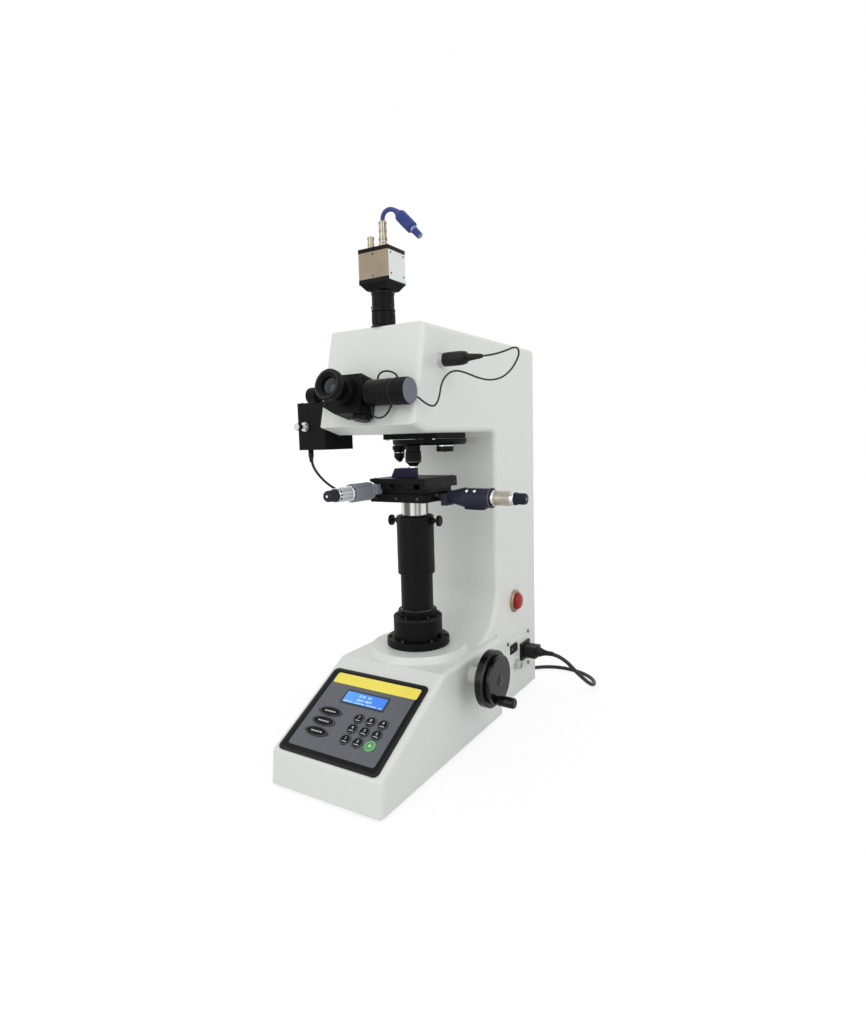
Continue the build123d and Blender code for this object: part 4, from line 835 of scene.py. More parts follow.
# ---------------------------------------------------------------- control panel
class TESTER_OT_keypad(bpy.types.Operator):
    """Print, display and keys of the control panel"""
    bl_idname = "tester.keypad"
    bl_label = "Keypad"

    def execute(self, context):
        t, s = context.scene.tester_colours, context.scene.tester_slope
        top, raised = s.film, s.film + 0.0002
        black = anodised("key_black", linear("0B0B0D"), 0.36)
        pale = paint("print_pale", linear("D9DBD8"))
        # pale grey key rings: printed outlines on the oval keys, painted highlights round the round keys'
        # rims
        dim = paint("rim_print_and_highlight_grey", linear("9EA3A8"))
        border = band((0.1616, 0.1409, 0.005), (0.1490, 0.1305, 0.0045, (0, 0.0016)), 0.0001)
        piece("keypad_border", border, black, "frame", on_slope(0, 77.65) @ move(0, 0, top))
        piece("keypad_header", plate(0.1494, 0.0186, 0.0032, 0.00012), film("header_yellow", t.header, 0.38),
              "frame", on_slope(2, 135.5) @ move(0, 0, raised))
        piece("display_frame", band((0.0766, 0.0241, 0.0012), (0.0716, 0.0194, 0.0006), 0.0004),
              paint("display_frame_black", linear("20242C"), 0.4), "frame",
              on_slope(0, 107) @ move(0, 0, raised))
        glass = lit("display_blue", linear("4A9AE6"), 0.34, (0, -0.052, 0.03, t.display))
        piece("display_glass", plate(0.0722, 0.02, 0.0006, 0.00015), glass, "frame",
              on_slope(0, 107) @ move(0, 0, raised))
        figures = lit("display_figures", linear("CFE6FF"), 0.5)
        rows = (("25.00   0.0", 0.0052, -0.002, 0.0046), ("000.0  000.0", 0.0052, 0.0, -0.0022))
        bm = joined(*[(words(text, size, 0.00003), move(x, y, 0)) for text, size, x, y in rows])
        for index in range(22):
            if index % 7 != 5:
                add(bm, plate(0.0022, 0.0011, 0.0001, 0.00006), move(-0.032 + 0.00305 * index, -0.0075, 0))
        piece("display_digits", bm, figures, "frame", on_slope(0, 107)
              @ move(0, 0, raised + 0.00017), smooth=False)
        self.keys(s, raised, black, pale, dim, t)
        return {"FINISHED"}

    def keys(self, s, raised, black, pale, dim, t):
        caps, rims, marks = bmesh.new(), bmesh.new(), bmesh.new()
        turn = iter(("7", "8", "9", "4", "5", "6", "1", "2"))
        for row, up in enumerate((76.5, 59.3, 41.5)):
            stretch = Matrix.Diagonal((0.0205, 0.0073, 1, 1))
            add(caps, disc(1, 0.0008, 0.0003, 56), on_slope(-42, up) @ stretch)
            add(rims, ring(0.90, 0.925, 0, 0.0001, 0.00002, 56), on_slope(-42, up) @ move(0, 0, 0.0008)
                @ stretch)
            for side in range(-2, 3):
                add(marks, plate(0.0026, 0.0019, 0.0004, 0.0001), on_slope(-42 + 3.9 * side, up)
                    @ move(0, 0, 0.0008))
            for column in range(3):
                if row == 2 and column == 2:
                    continue
                place = on_slope(9 + column * s.key_pitch / MM, up)
                add(caps, disc(s.key_radius, 0.0008, 0.0003, 40), place)
                # painted highlight: a pale ring just inside the round key's edge
                add(rims, ring(s.key_radius - 0.0010, s.key_radius - 0.0007, 0, 0.0001, 0.00002, 40),
                    place @ move(0, 0, 0.0008))
                add(marks, words(next(turn), 0.0066, 0.00004), place @ move(0, 0.0016, 0.00084))
                add(marks, plate(0.0074, 0.0010, 0.0002, 0.00008), place @ move(0, -0.0033, 0.0008))
        lift = on_slope(0, 0).to_3x3() @ Vector((0, 0, raised))
        up = Matrix.Translation(lift)
        piece("key_caps", caps, black, "frame", up)
        piece("key_rims", rims, dim, "frame", up)
        piece("key_figures", marks, pale, "frame", up, smooth=False)
        start = on_slope(50.5, 41.5) @ move(0, 0, raised)
        green = lit("start_green", t.start_key, 0.05, (0, 0.045, 0.06, shade(t.start_key, 1.25)))
        piece("start_key", disc(0.0089, 0.0008, 0.0003, 40), green, "frame", start)
        arrow = bmesh.new()
        bmesh.ops.create_cone(arrow, cap_ends=True, segments=3, radius1=0.0034, radius2=0.0034, depth=0.0001)
        bmesh.ops.rotate(arrow, cent=(0, 0, 0), matrix=Matrix.Rotation(-pi / 2, 3, "Z"), verts=arrow.verts)
        add(arrow, ring(0.0066, 0.0070, -0.00005, 0.00005, 0.00001, 40))
        piece("start_mark", arrow, paint("start_pale", linear("BFE3B9")), "frame",
              start @ move(0, 0, 0.00085), smooth=False)


# ---------------------------------------------------------------- elevating gear
class TESTER_OT_lift_trim(bpy.types.Operator):
    """Hub, knurls, wipers and screw recesses of the elevating gear, with painted shade in the hub's centre
    hole and painted glints on the gear's screws
    """
    bl_idname = "tester.lift_trim"
    bl_label = "Elevating gear trim"

    def execute(self, context):
        t = context.scene.tester_colours
        gloss = moulded("hub_gloss", linear("0D0D0F"), 0.22, 900.0)
        black = anodised("trim_black", t.anodised, 0.34)
        # painted shade: a near-black disc in the hub's centre hole stands in for the shade inside it
        dark = paint("centre_hole_shade", linear("050506"), 0.6)
        bright = steel("trim_bright", t.steel, 0.16)
        hub = turned([(0.0017, 0), (0.0109, 0), (0.0109, 0.0041), (0.0102, 0.0045), (0.0026, 0.0045),
                      (0.0017, 0.0036), (0.0017, 0)])
        piece("wheel_hub", hub, gloss, "handwheel", to_right(141.0, 0, WHEEL_Z))
        piece("wheel_centre_hole_shade", disc(0.0022, 0.0048, 0.0001), dark, "handwheel",
              to_right(141.0, 0, WHEEL_Z))
        # painted highlights: thin grey rings on the wheel's steps stand in for highlights along their edges
        rim = rings((0.0368, 0.03710, -0.0012, -0.0007, 0.0001), (0.0425, 0.04348, -0.0112, -0.0107, 0.0001),
                    steps=96)
        piece("wheel_painted_highlight_lines", rim, steel("wheel_edge_highlight", linear("6B6E72"), 0.3), "handwheel",
              to_right(145.2, 0, WHEEL_Z))
        grip = rings((0.0062, 0.00815, 0.0055, 0.0062, 0.0001), (0.0062, 0.00815, 0.0264, 0.0271, 0.0001),
                     steps=40)
        piece("crank_lines", grip, gloss, "crank", to_right(145.2, *CRANK))
        piece("crank_pin_end", turned([(0, 0), (0.0050, 0), (0.0050, 0.0008), (0.0044, 0.0012),
                                       (0.0012, 0.0012), (0.0010, 0.0006), (0, 0.0006)], 40),
                                       steel("pin_steel", linear("4B4C4E"), 0.3), "handwheel",
                                       to_right(173.6, *CRANK))
        for side, body in ((1, "right_thumbscrew"), (-1, "left_thumbscrew")):
            swing = radians(10 if side > 0 else 190)
            place = frame_at(Vector((0, 0, 0.346)), (cos(swing), sin(swing), 0))
            head = knurled(0.0084, 0.0385, 0.0432, 48, 0.00035, steps=48)
            add(head, ring(0.0029, 0.0060, 0.0432, 0.0442, 0.0003, 32))
            piece(body + "_knurl", head, black, body, place)
        ahead, aside = cos(radians(-11)), sin(radians(-11))
        piece("sleeve_key", plate(0.0011, 0.079, 0.0002, 0.0003, 0.0001),
              steel("sleeve_key_edge", linear("3A3430"), 0.3), "elevator",
              frame_at(Vector((0.0293 * ahead, 0.0293 * aside, 0.3045)), (ahead, aside, 0),
                       (-aside, ahead, 0)))
        lips = rings((0.0216, 0.0242, 0.3549, 0.3556, 0.0002), (0.0256, 0.0285, 0.2618, 0.2625, 0.0001))
        piece("sleeve_wipers", lips, moulded("wiper_rubber", linear("0B0B0C"), 0.55), "elevator")
        # painted glints: lighter grey rings on the screw heads stand in for light caught on their tops
        glints = bmesh.new()
        for index in range(6):
            for radius, z, size in ((0.0447, 0.162, 0.00275), (0.0344, 0.1969, 0.002)):
                swing = radians(30 + 60 * index)
                add(glints, ring(size * 0.56, size * 0.98, -0.0001, 0.00012, 0.00005, 24),
                    move(radius * cos(swing), radius * sin(swing), z))
        piece("gear_screw_painted_glints", glints, steel("screw_glint_grey", linear("6B6B6A"), 0.3), "frame")
        scale = ticks(60, 0.0391, 0.00035, 0.1902, 0.1924, long_every=5, long_by=-0.0012)
        piece("gear_scale", scale, paint("scale_grey", linear("7E8183")), "frame", smooth=False)
        dial = knurled(0.0312, 0.1948, 0.1986, 90, 0.00025, steps=72)
        piece("lock_ring_knurl", dial, black, "frame")
        piece("lock_ring_line", ring(0.0256, 0.0262, 0.2039, 0.20425, 0.0001), bright, "frame")
        return {"FINISHED"}


# ---------------------------------------------------------------- cross slide stage
class TESTER_OT_micrometers(bpy.types.Operator):
    """Thimbles, caps, graduations and screws of the cross slide stage"""
    bl_idname = "tester.micrometers"
    bl_label = "Micrometers"

    def execute(self, context):
        mark = paint("scale_black", linear("141416"))
        white = paint("scale_white", linear("D8DAD6"))
        dark = {"cross_thimble": anodised("cap_dark_blue", linear("22212E"), 0.34),
                "table_thimble": anodised("cap_grey", linear("2A2E36"), 0.36)}
        rows = (("cross", "cross_thimble", to_right(0, 0, STAGE_Z), 138.5, (1.0, 0.03, 0.03), "B4AFA2"),
                ("table", "table_thimble", to_front(TABLE_SCREW[0], 0, TABLE_SCREW[1]), 98.5,
                 (0.03, 1.0, 0.03), "E6E9EE"))
        for name, body, place, start, lines, tint in rows:
            fine = steel(name + "_thimble_turned", linear(tint), 0.3, lines, 0.5)
            bright = steel(name + "_thimble_polished", linear("F2F3F1"), 0.12, lines)
            at = place @ move(0, 0, start * MM)
            barrel = knurled(0.01045, 0.0145, 0.0290, 96, 0.00018, 0.5)
            add(barrel, ring(0.0099, 0.01040, 0.0040, 0.0145, 0.0001))
            piece(name + "_thimble_barrel", barrel, fine, body, at)
            ends = joined((ring(0.0099, 0.01195, -0.0001, 0.0031, 0.0003), None),
                          (turned([(0.0099, 0.029), (0.0105, 0.029), (0.0106, 0.0335), (0.0101, 0.0342),
                                   (0.0085, 0.0342), (0.0085, 0.029), (0.0099, 0.029)]), None))
            piece(name + "_thimble_rings", ends, bright, body, at)
            marks = ticks(50, 0.01042, 0.00022, 0.0040, 0.0060, long_every=5, long_by=0.0014, raised=0.00006)
            piece(name + "_thimble_scale", marks, mark, body, at, smooth=False)
            cap = turned([(0.0070, 0.0341), (0.0094, 0.0341), (0.0094, 0.0372), (0.0082, 0.0392),
                          (0.0081, 0.0500), (0.0074, 0.0516), (0.0062, 0.05225), (0.0022, 0.05225),
                          (0.0018, 0.0519), (0, 0.0519), (0, 0.0500)])
            add(cap, ridges(40, 0.0081, 0.0009, 0.00025, 0.0398, 0.0494))
            piece(name + "_ratchet_cap", cap, dark[body], body, at)
        self.bodies(white)
        self.screws()
        return {"FINISHED"}

    def bodies(self, white):
        """Print and locks on the two micrometer bodies."""
        lean = radians(46)
        # painted light: two pale dots on the micrometer's top, given a faint glow though no lamp is in them
        dots = joined(*[(disc(0.0023, 0.0003, 0.0001, 24), frame_at(
            Vector((x, -15 * sin(lean), STAGE_Z + 15 * cos(lean))) * MM,
            (0, -sin(lean), cos(lean)), (1, 0, 0))) for x in (99.5, 112.5)])
        piece("cross_micrometer_windows", dots, lit("window_painted_glow", linear("E4EBDF"), 0.25), "elevator")
        lock = bmesh.new()
        bmesh.ops.create_cube(lock, size=1.0)
        bmesh.ops.scale(lock, vec=(0.034, 0.016, 0.008), verts=lock.verts)
        bmesh.ops.bevel(lock, geom=lock.edges[:], offset=0.0034, offset_type="OFFSET", segments=4,
                        profile=0.5, affect="EDGES", material=-1)
        piece("cross_micrometer_lock", lock, anodised("lock_dark_blue", linear("191827"), 0.4), "elevator",
              upright(109, 0, 371))
        piece("cross_micrometer_end", ring(0.0140, 0.01515, -0.0026, -0.0003, 0.0003),
              anodised("end_grey", linear("55555C"), 0.4), "elevator",
              to_right(137.0, 0, STAGE_Z))
        rear = rings((0.0128, 0.01345, 0.0006, 0.0016, 0.0002), (0.0118, 0.01435, 0.0062, 0.0078, 0.0003))
        piece("table_micrometer_collar", rear, anodised("collar_grey", linear("9AA0A6"), 0.4), "cross_slide",
              to_front(TABLE_SCREW[0], -50, TABLE_SCREW[1]))
        piece("table_micrometer_line", plate(0.0003, 0.0200, 0.0001, 0.0001),
              white, "cross_slide",
              frame_at(Vector((-50, -81.6, 409.97)) * MM, (0, 0, 1), (1, 0, 0)), smooth=False)
        scale = bmesh.new()
        for index in range(13):
            size = 0.0036 if index % 5 == 0 else 0.0022
            swing = size / 2 / 0.014
            add(scale, plate(size, 0.00022, 0.00005, 0.0001), frame_at(
                Vector((-0.05 + 0.01396 * sin(swing), -0.072 - index * 0.0016, 0.396 + 0.01396 * cos(swing))),
                (sin(swing), 0, cos(swing)), (1, 0, 0)))
        piece("table_micrometer_scale", scale, white, "cross_slide", smooth=False)

    def screws(self):
        """Socket screws and the engraved rim of the stage plates."""
        steel_dark = steel("stage_screw", linear("5A5B5E"), 0.3)
        low = joined(*[(hex_screw(0.0022, 0.0014), to_right(50, y, 385.2)) for y in (-38, 38)],
                     *[(hex_screw(0.0022, 0.0014), to_front(x, -50, 385.2)) for x in (-38, 0, 38)])
        piece("stage_base_screws", low, steel_dark, "elevator")
        sides = [(hex_screw(0.0017, 0.001), to_right(50, y, 405.5)) for y in (-40, 40)]
        corners = [(hex_screw(0.0019, 0.001), upright(x, y, TABLE_TOP)) for x in (-43, 43) for y in (-43, 43)]
        piece("table_screws", joined(*sides, *corners), steel_dark, "table")
        groove = band((0.094, 0.094, 0.002), (0.093, 0.093, 0.0016), 0.00006)
        piece("table_groove", groove, paint("groove_grey", linear("2C2E31"), 0.4), "table",
              upright(0, 0, TABLE_TOP))
        clamp = joined((hex_screw(0.0018, 0.001), upright(-10.5, 1.5, REST_TOP)),
                       (hex_screw(0.0018, 0.001), upright(-10.5, -11.5, REST_TOP)))
        piece("rest_screws", clamp, steel("rest_screw", linear("77777C"), 0.3), "table")


# ---------------------------------------------------------------- optics
class TESTER_OT_optics(bpy.types.Operator):
    """Turret, objectives, indenter, measuring drum and eyepiece trim"""
    bl_idname = "tester.optics"
    bl_label = "Optics"

    def execute(self, context):
        t = context.scene.tester_colours
        self.black = anodised("optic_black", t.anodised, 0.32)
        self.bright = steel("optic_bright", linear("DADCDD"), 0.16)
        self.turret()
        self.drum()
        self.eyepiece()
        return {"FINISHED"}

    def station(self, swing):
        a = radians(swing)
        return upright(STATION_RADIUS * sin(a), TURRET_Y - STATION_RADIUS * cos(a), 0)

    def turret(self):
        ahead, small, tester = self.station(0), self.station(-60), self.station(60)
        rims = joined((ring(0.0122, 0.01258, 0.4386, 0.4389, 0.0001), ahead),
                      (turned([(0.0046, 0.4318), (0.0062, 0.4318), (0.0080, 0.4338), (0.0076, 0.4341),
                               (0.0046, 0.4341), (0.0046, 0.4318)], 48), ahead),
                      (turned([(0.0034, 0.4378), (0.0037, 0.4378), (0.0052, 0.4400), (0.0048, 0.4404),
                               (0.0034, 0.4404), (0.0034, 0.4378)], 40), small),
                      (ring(0.0083, 0.0088, 0.4525, 0.4532, 0.0001), small))
        piece("objective_rings", rims, self.bright, "turret")
        grips = joined((knurled(0.01262, 0.4415, 0.4475, 72, 0.0002), ahead),
                       (knurled(0.0088, 0.4535, 0.4580, 54, 0.0002), small),
                       (knurled(0.0112, 0.4615, 0.4638, 60, 0.0002), ahead))
        piece("objective_knurls", grips, self.black, "turret")
        lens = optic("objective_coating", linear("2B2444"))
        glass = joined(
            (turned([(0, 0.0), (0.0022, -0.0003), (0.0044, 0.0003), (0.0044, 0.001), (0, 0.001)], 32),
             ahead @ move(0, 0, 0.4322)),
            (turned([(0, 0.0), (0.0016, 0.0001), (0.0033, 0.0005), (0.0033, 0.001), (0, 0.001)], 32),
             small @ move(0, 0, 0.4373)))
        piece("objective_lenses", glass, lens, "turret")
        cup = ring(0.0128, 0.01372, 0.4536, 0.4618, 0.0003)
        piece("indenter_sleeve", cup, self.black, "turret", tester)
        tip = joined((ring(0.0122, 0.01385, 0.4620, 0.4637, 0.0003), tester),
                     (turned([(0, 0.4517), (0.0007, 0.4524), (0.0018, 0.4530), (0.0026, 0.4540),
                              (0.0026, 0.4556), (0, 0.4556)], 32), tester))
        piece("indenter_collar", tip, self.bright, "turret")
        detents = joined(*[(ring(0.0042, 0.0048, 0.4637, 0.4641, 0.0001, 32), self.station(a))
                           for a in (120, 180, 240)])
        piece("turret_blanks", detents, self.bright, "turret")
        edge = ridges(120, 0.0599, 0.0011, 0.0003, 0.4676, 0.4728)
        piece("turret_grip", edge, self.black, "turret", upright(0, TURRET_Y, 0))
        screws = joined(*[(hex_screw(0.0022, 0.0016), upright(x, y, 474) @ Matrix.Rotation(pi, 4, "X"))
                          for x in (-45, 41) for y in (-5, 83)])
        piece("turret_mount_screws", screws, self.bright, "frame")

    def drum(self):
        axis = face_axis(0, 39.4, 22) @ Matrix.Rotation(pi / 2, 4, "Y")
        end = turned([(0, 0.0869), (0.0170, 0.0869), (0.0172, 0.0871), (0.0170, 0.0874), (0.0152, 0.0875),
                      (0, 0.0875)], 72)
        piece("drum_end_plate", end, anodised("drum_grey", linear("6C7079"), 0.4, (0.1, 1.0, 1.0)),
              "encoder_knob", axis)
        grip = joined((knurled(0.01785, 0.0655, 0.0745, 110, 0.00022), None),
                      (knurled(0.01785, 0.0762, 0.0852, 110, 0.00022), None))
        piece("drum_knob_grip", grip, self.black, "encoder_knob", axis)
        seams = rings((0.0168, 0.01735, 0.0602, 0.0611, 0.0001), (0.0170, 0.01782, 0.0236, 0.0244, 0.0002),
                      (0.0170, 0.01782, 0.0560, 0.0566, 0.0001))
        piece("drum_seams", seams, anodised("drum_line", linear("1D1B19"), 0.3), "frame", axis)
        zero = ticks(60, 0.0170, 0.0003, 0.0615, 0.0630, long_every=5, long_by=0.0008, raised=0.00008)
        piece("drum_scale", zero, paint("drum_marks", linear("57585A")), "frame", axis,
              smooth=False)
        gland = turned([(0.0014, 0.0200), (0.0030, 0.0200), (0.0030, 0.0212), (0.0021, 0.0224),
                        (0.00175, 0.0262), (0.00145, 0.0262), (0.0014, 0.0200)], 24)
        place = face_axis(29, 39.4, 22) @ Matrix.Rotation(pi / 2, 4, "X")
        piece("drum_cord_boot", gland, moulded("boot_rubber", linear("0E0E10"), 0.5), "frame",
              place)
        left = face_axis(0, 41.9, 20.5) @ Matrix.Rotation(-pi / 2, 4, "Y")
        knob = knurled(0.01178, 0.0722, 0.0846, 64, 0.0003)
        add(knob, turned([(0, 0.0863), (0.0088, 0.0863), (0.0088, 0.0867), (0.0080, 0.0870), (0, 0.0870)],
                         48))
        piece("left_knob_grip", knob, self.black, "filar_knob", left)
        clamp = face_axis(7, 9.7, 15) @ Matrix.Rotation(pi / 2, 4, "X")
        knob = knurled(0.0125, 0.0010, 0.0051, 60, 0.0003)
        add(knob, disc(0.0046, 0.0008, 0.0002, 32), move(0, 0, 0.0058))
        piece("clamp_knob_grip", knob, self.black, "clamp_knob", clamp)

    def eyepiece(self):
        axis = face_axis(-15.5, 40.5, 0)
        lens = turned([(0, 0.0640), (0.0050, 0.0637), (0.0095, 0.0628), (0.0119, 0.0618), (0.0119, 0.0612),
                       (0, 0.0612)])
        piece("eyepiece_lens", lens, optic("eyepiece_coating", linear("0C1218")), "eyepiece",
              axis)
        trims = rings((0.0120, 0.0136, 0.0611, 0.0641, 0.0003), (0.0172, 0.01775, 0.0364, 0.0371, 0.0001))
        piece("eyepiece_rings", trims, steel("eyepiece_ring", linear("303134"), 0.26), "eyepiece",
              axis)
        cup = joined((knurled(0.02155, 0.0585, 0.0660, 90, 0.0003), None),
                     (ring(0.0168, 0.0200, 0.0676, 0.0684, 0.0003), None))
        piece("eyecup_rubber", cup, moulded("eyecup_black", linear("101011"), 0.5, 1800.0), "eyepiece",
              axis)
        scale = ticks(40, 0.01756, 0.0003, 0.0376, 0.0388, long_every=5, long_by=0.0008, raised=0.00006)
        piece("eyepiece_scale", scale, paint("eyepiece_marks", linear("6E706E")), "eyepiece",
              axis, smooth=False)
        piece("eyepiece_seat", ring(0.0178, 0.0203, 0.0345, 0.0357, 0.0003), self.black, "frame",
              axis)
        corners = ((-45, 25), (-45, 60), (11, 15), (11, 60))
        screws = joined(*[(hex_screw(0.0021, 0.0014), face_axis(u, v, 32)) for u, v in corners])
        piece("eyepiece_block_screws", screws, steel("block_screw", linear("3C3D40"), 0.3), "frame")


# ---------------------------------------------------------------- camera
class TESTER_OT_camera_trim(bpy.types.Operator):
    """Near-white side plates (painted light on the camera's sides), screws, mount rings and port nuts of the
    measuring camera
    """
    bl_idname = "tester.camera_trim"
    bl_label = "Camera trim"

    def execute(self, context):
        t = context.scene.tester_colours
        black = anodised("camera_trim_black", t.anodised, 0.3)
        # painted light: near-white side plates, lighter than the case, stand in for the lit sides
        white = enamel("camera_side_painted_light", linear("E6EBEA"), 0.36)
        dark = steel("camera_screw", linear("4A4540"), 0.3)
        gold = steel("port_nickel", linear("A8A08F"), 0.22, (1.0, 1.0, 0.05))
        sides = joined((plate(0.0404, 0.0396, 0.0012, 0.0004, 0.0001),
                        frame_at(Vector((29.9, -73.7, 714.5)) * MM, (1, 0, 0), (0, 1, 0))),
                       (plate(0.0404, 0.0396, 0.0012, 0.0004, 0.0001),
                        frame_at(Vector((-21.5, -73.7, 714.5)) * MM, (-1, 0, 0), (0, 1, 0))))
        piece("camera_side_plates", sides, white, "frame")
        bands = joined((band((0.0520, 0.0442, 0.0022), (0.0510, 0.0432, 0.0018), 0.0062),
                        upright(*CAMERA, 692.4)),
                       (band((0.0520, 0.0442, 0.0022), (0.0500, 0.0422, 0.0018), 0.0054),
                        upright(*CAMERA, 734.8)))
        piece("camera_end_bands", bands, black, "frame")
        small = joined(*[(hex_screw(0.0012, 0.0006), to_front(CAMERA[0], -95.5, z)) for z in (702, 731)],
                       *[(hex_screw(0.0012, 0.0006), to_right(30.3, y, z)) for y in (-58, -89)
                         for z in (703, 731)], *[(hex_screw(0.0012, 0.0006), to_back(x, -51.9, z))
                                                 for x in (-16, 24) for z in (702, 731)],
                                                 *[(hex_screw(0.0014, 0.0007), upright(x, y, 740))
                                                   for x in (-17, 25.4) for y in (-91, -56)])
        piece("camera_screws", small, dark, "frame")
        mount = rings((0.0158, 0.0172, 0.6560, 0.6590, 0.0004), (0.0158, 0.0168, 0.6795, 0.6835, 0.0004),
                      (0.0158, 0.0164, 0.6650, 0.6654, 0.0001), (0.0164, 0.0190, 0.6330, 0.6352, 0.0005))
        add(mount, knurled(0.0168, 0.6388, 0.6528, 84, 0.00025))
        piece("camera_mount_rings", mount, black, "frame", upright(*CAMERA, 0))
        lock = joined(*[(hex_screw(0.0017, 0.0012), frame_at(
            Vector((0.0042 + 0.0164 * cos(a), -0.0737 + 0.0164 * sin(a), 0.6618)), (cos(a), sin(a), 0)))
            for a in (radians(-20), radians(100), radians(220))])
        piece("camera_mount_screws", lock, dark, "frame")
        ports = bmesh.new()
        for x, radius, top in ((-10, 0.0046, 0.760), (11.3, 0.0054, 0.777)):
            at = upright(x, PORT_Y, 0)
            add(ports, knurled(radius + 0.0012, 0.7402, 0.7445, 36, 0.00025, steps=36), at)
            add(ports, ring(radius - 0.0003, radius + 0.0004, top - 0.0140, top - 0.0100, 0.0002), at)
            add(ports, ring(radius - 0.0005, radius + 0.0006, top - 0.0032, top - 0.0006, 0.0003), at)
        bayonet = ring(0.0052, 0.0062, 0.7520, 0.7560, 0.0003)
        add(ports, bayonet, upright(11.3, PORT_Y, 0))
        piece("camera_port_nuts", ports, gold, "frame")
        self.connector(t)
        return {"FINISHED"}

    def connector(self, t):
        start, end = Vector((39, PORT_Y, 782)) * MM, Vector((60, PORT_Y, 760)) * MM
        place = frame_at(start, end - start, (0, 1, 0))
        length_ = (end - start).length
        blue = moulded("connector_grip_blue", t.lead, 0.34, 1200.0)
        bm = joined((ring(0.0074, 0.0082, 0.0045, 0.0085, 0.0004), None),
                    (ring(0.0074, 0.0082, length_ - 0.0060, length_ - 0.0020, 0.0004), None),
                    (ridges(28, 0.00795, 0.0012, 0.0004, 0.0095, length_ - 0.0070), None))
        piece("connector_grip", bm, blue, "frame", place)
        collar = joined((ring(0.0044, 0.0052, length_ + 0.0025, length_ + 0.0060, 0.0003), None),
                        (turned([(0, length_ + 0.0176), (0.0040, length_ + 0.0176),
                                 (0.0040, length_ + 0.0183), (0.0030, length_ + 0.0184),
                                 (0, length_ + 0.0184)], 32), None))
        piece("connector_tip", collar, steel("connector_shell", linear("8B93B8"), 0.26), "frame",
              place)
        boot = turned([(0.0033, -0.0070), (0.0038, -0.0070), (0.0042, -0.0040), (0.0058, 0.0002),
                       (0.0058, 0.0006), (0.0033, 0.0006), (0.0033, -0.0070)], 36)
        piece("connector_boot", boot, blue, "frame", place)


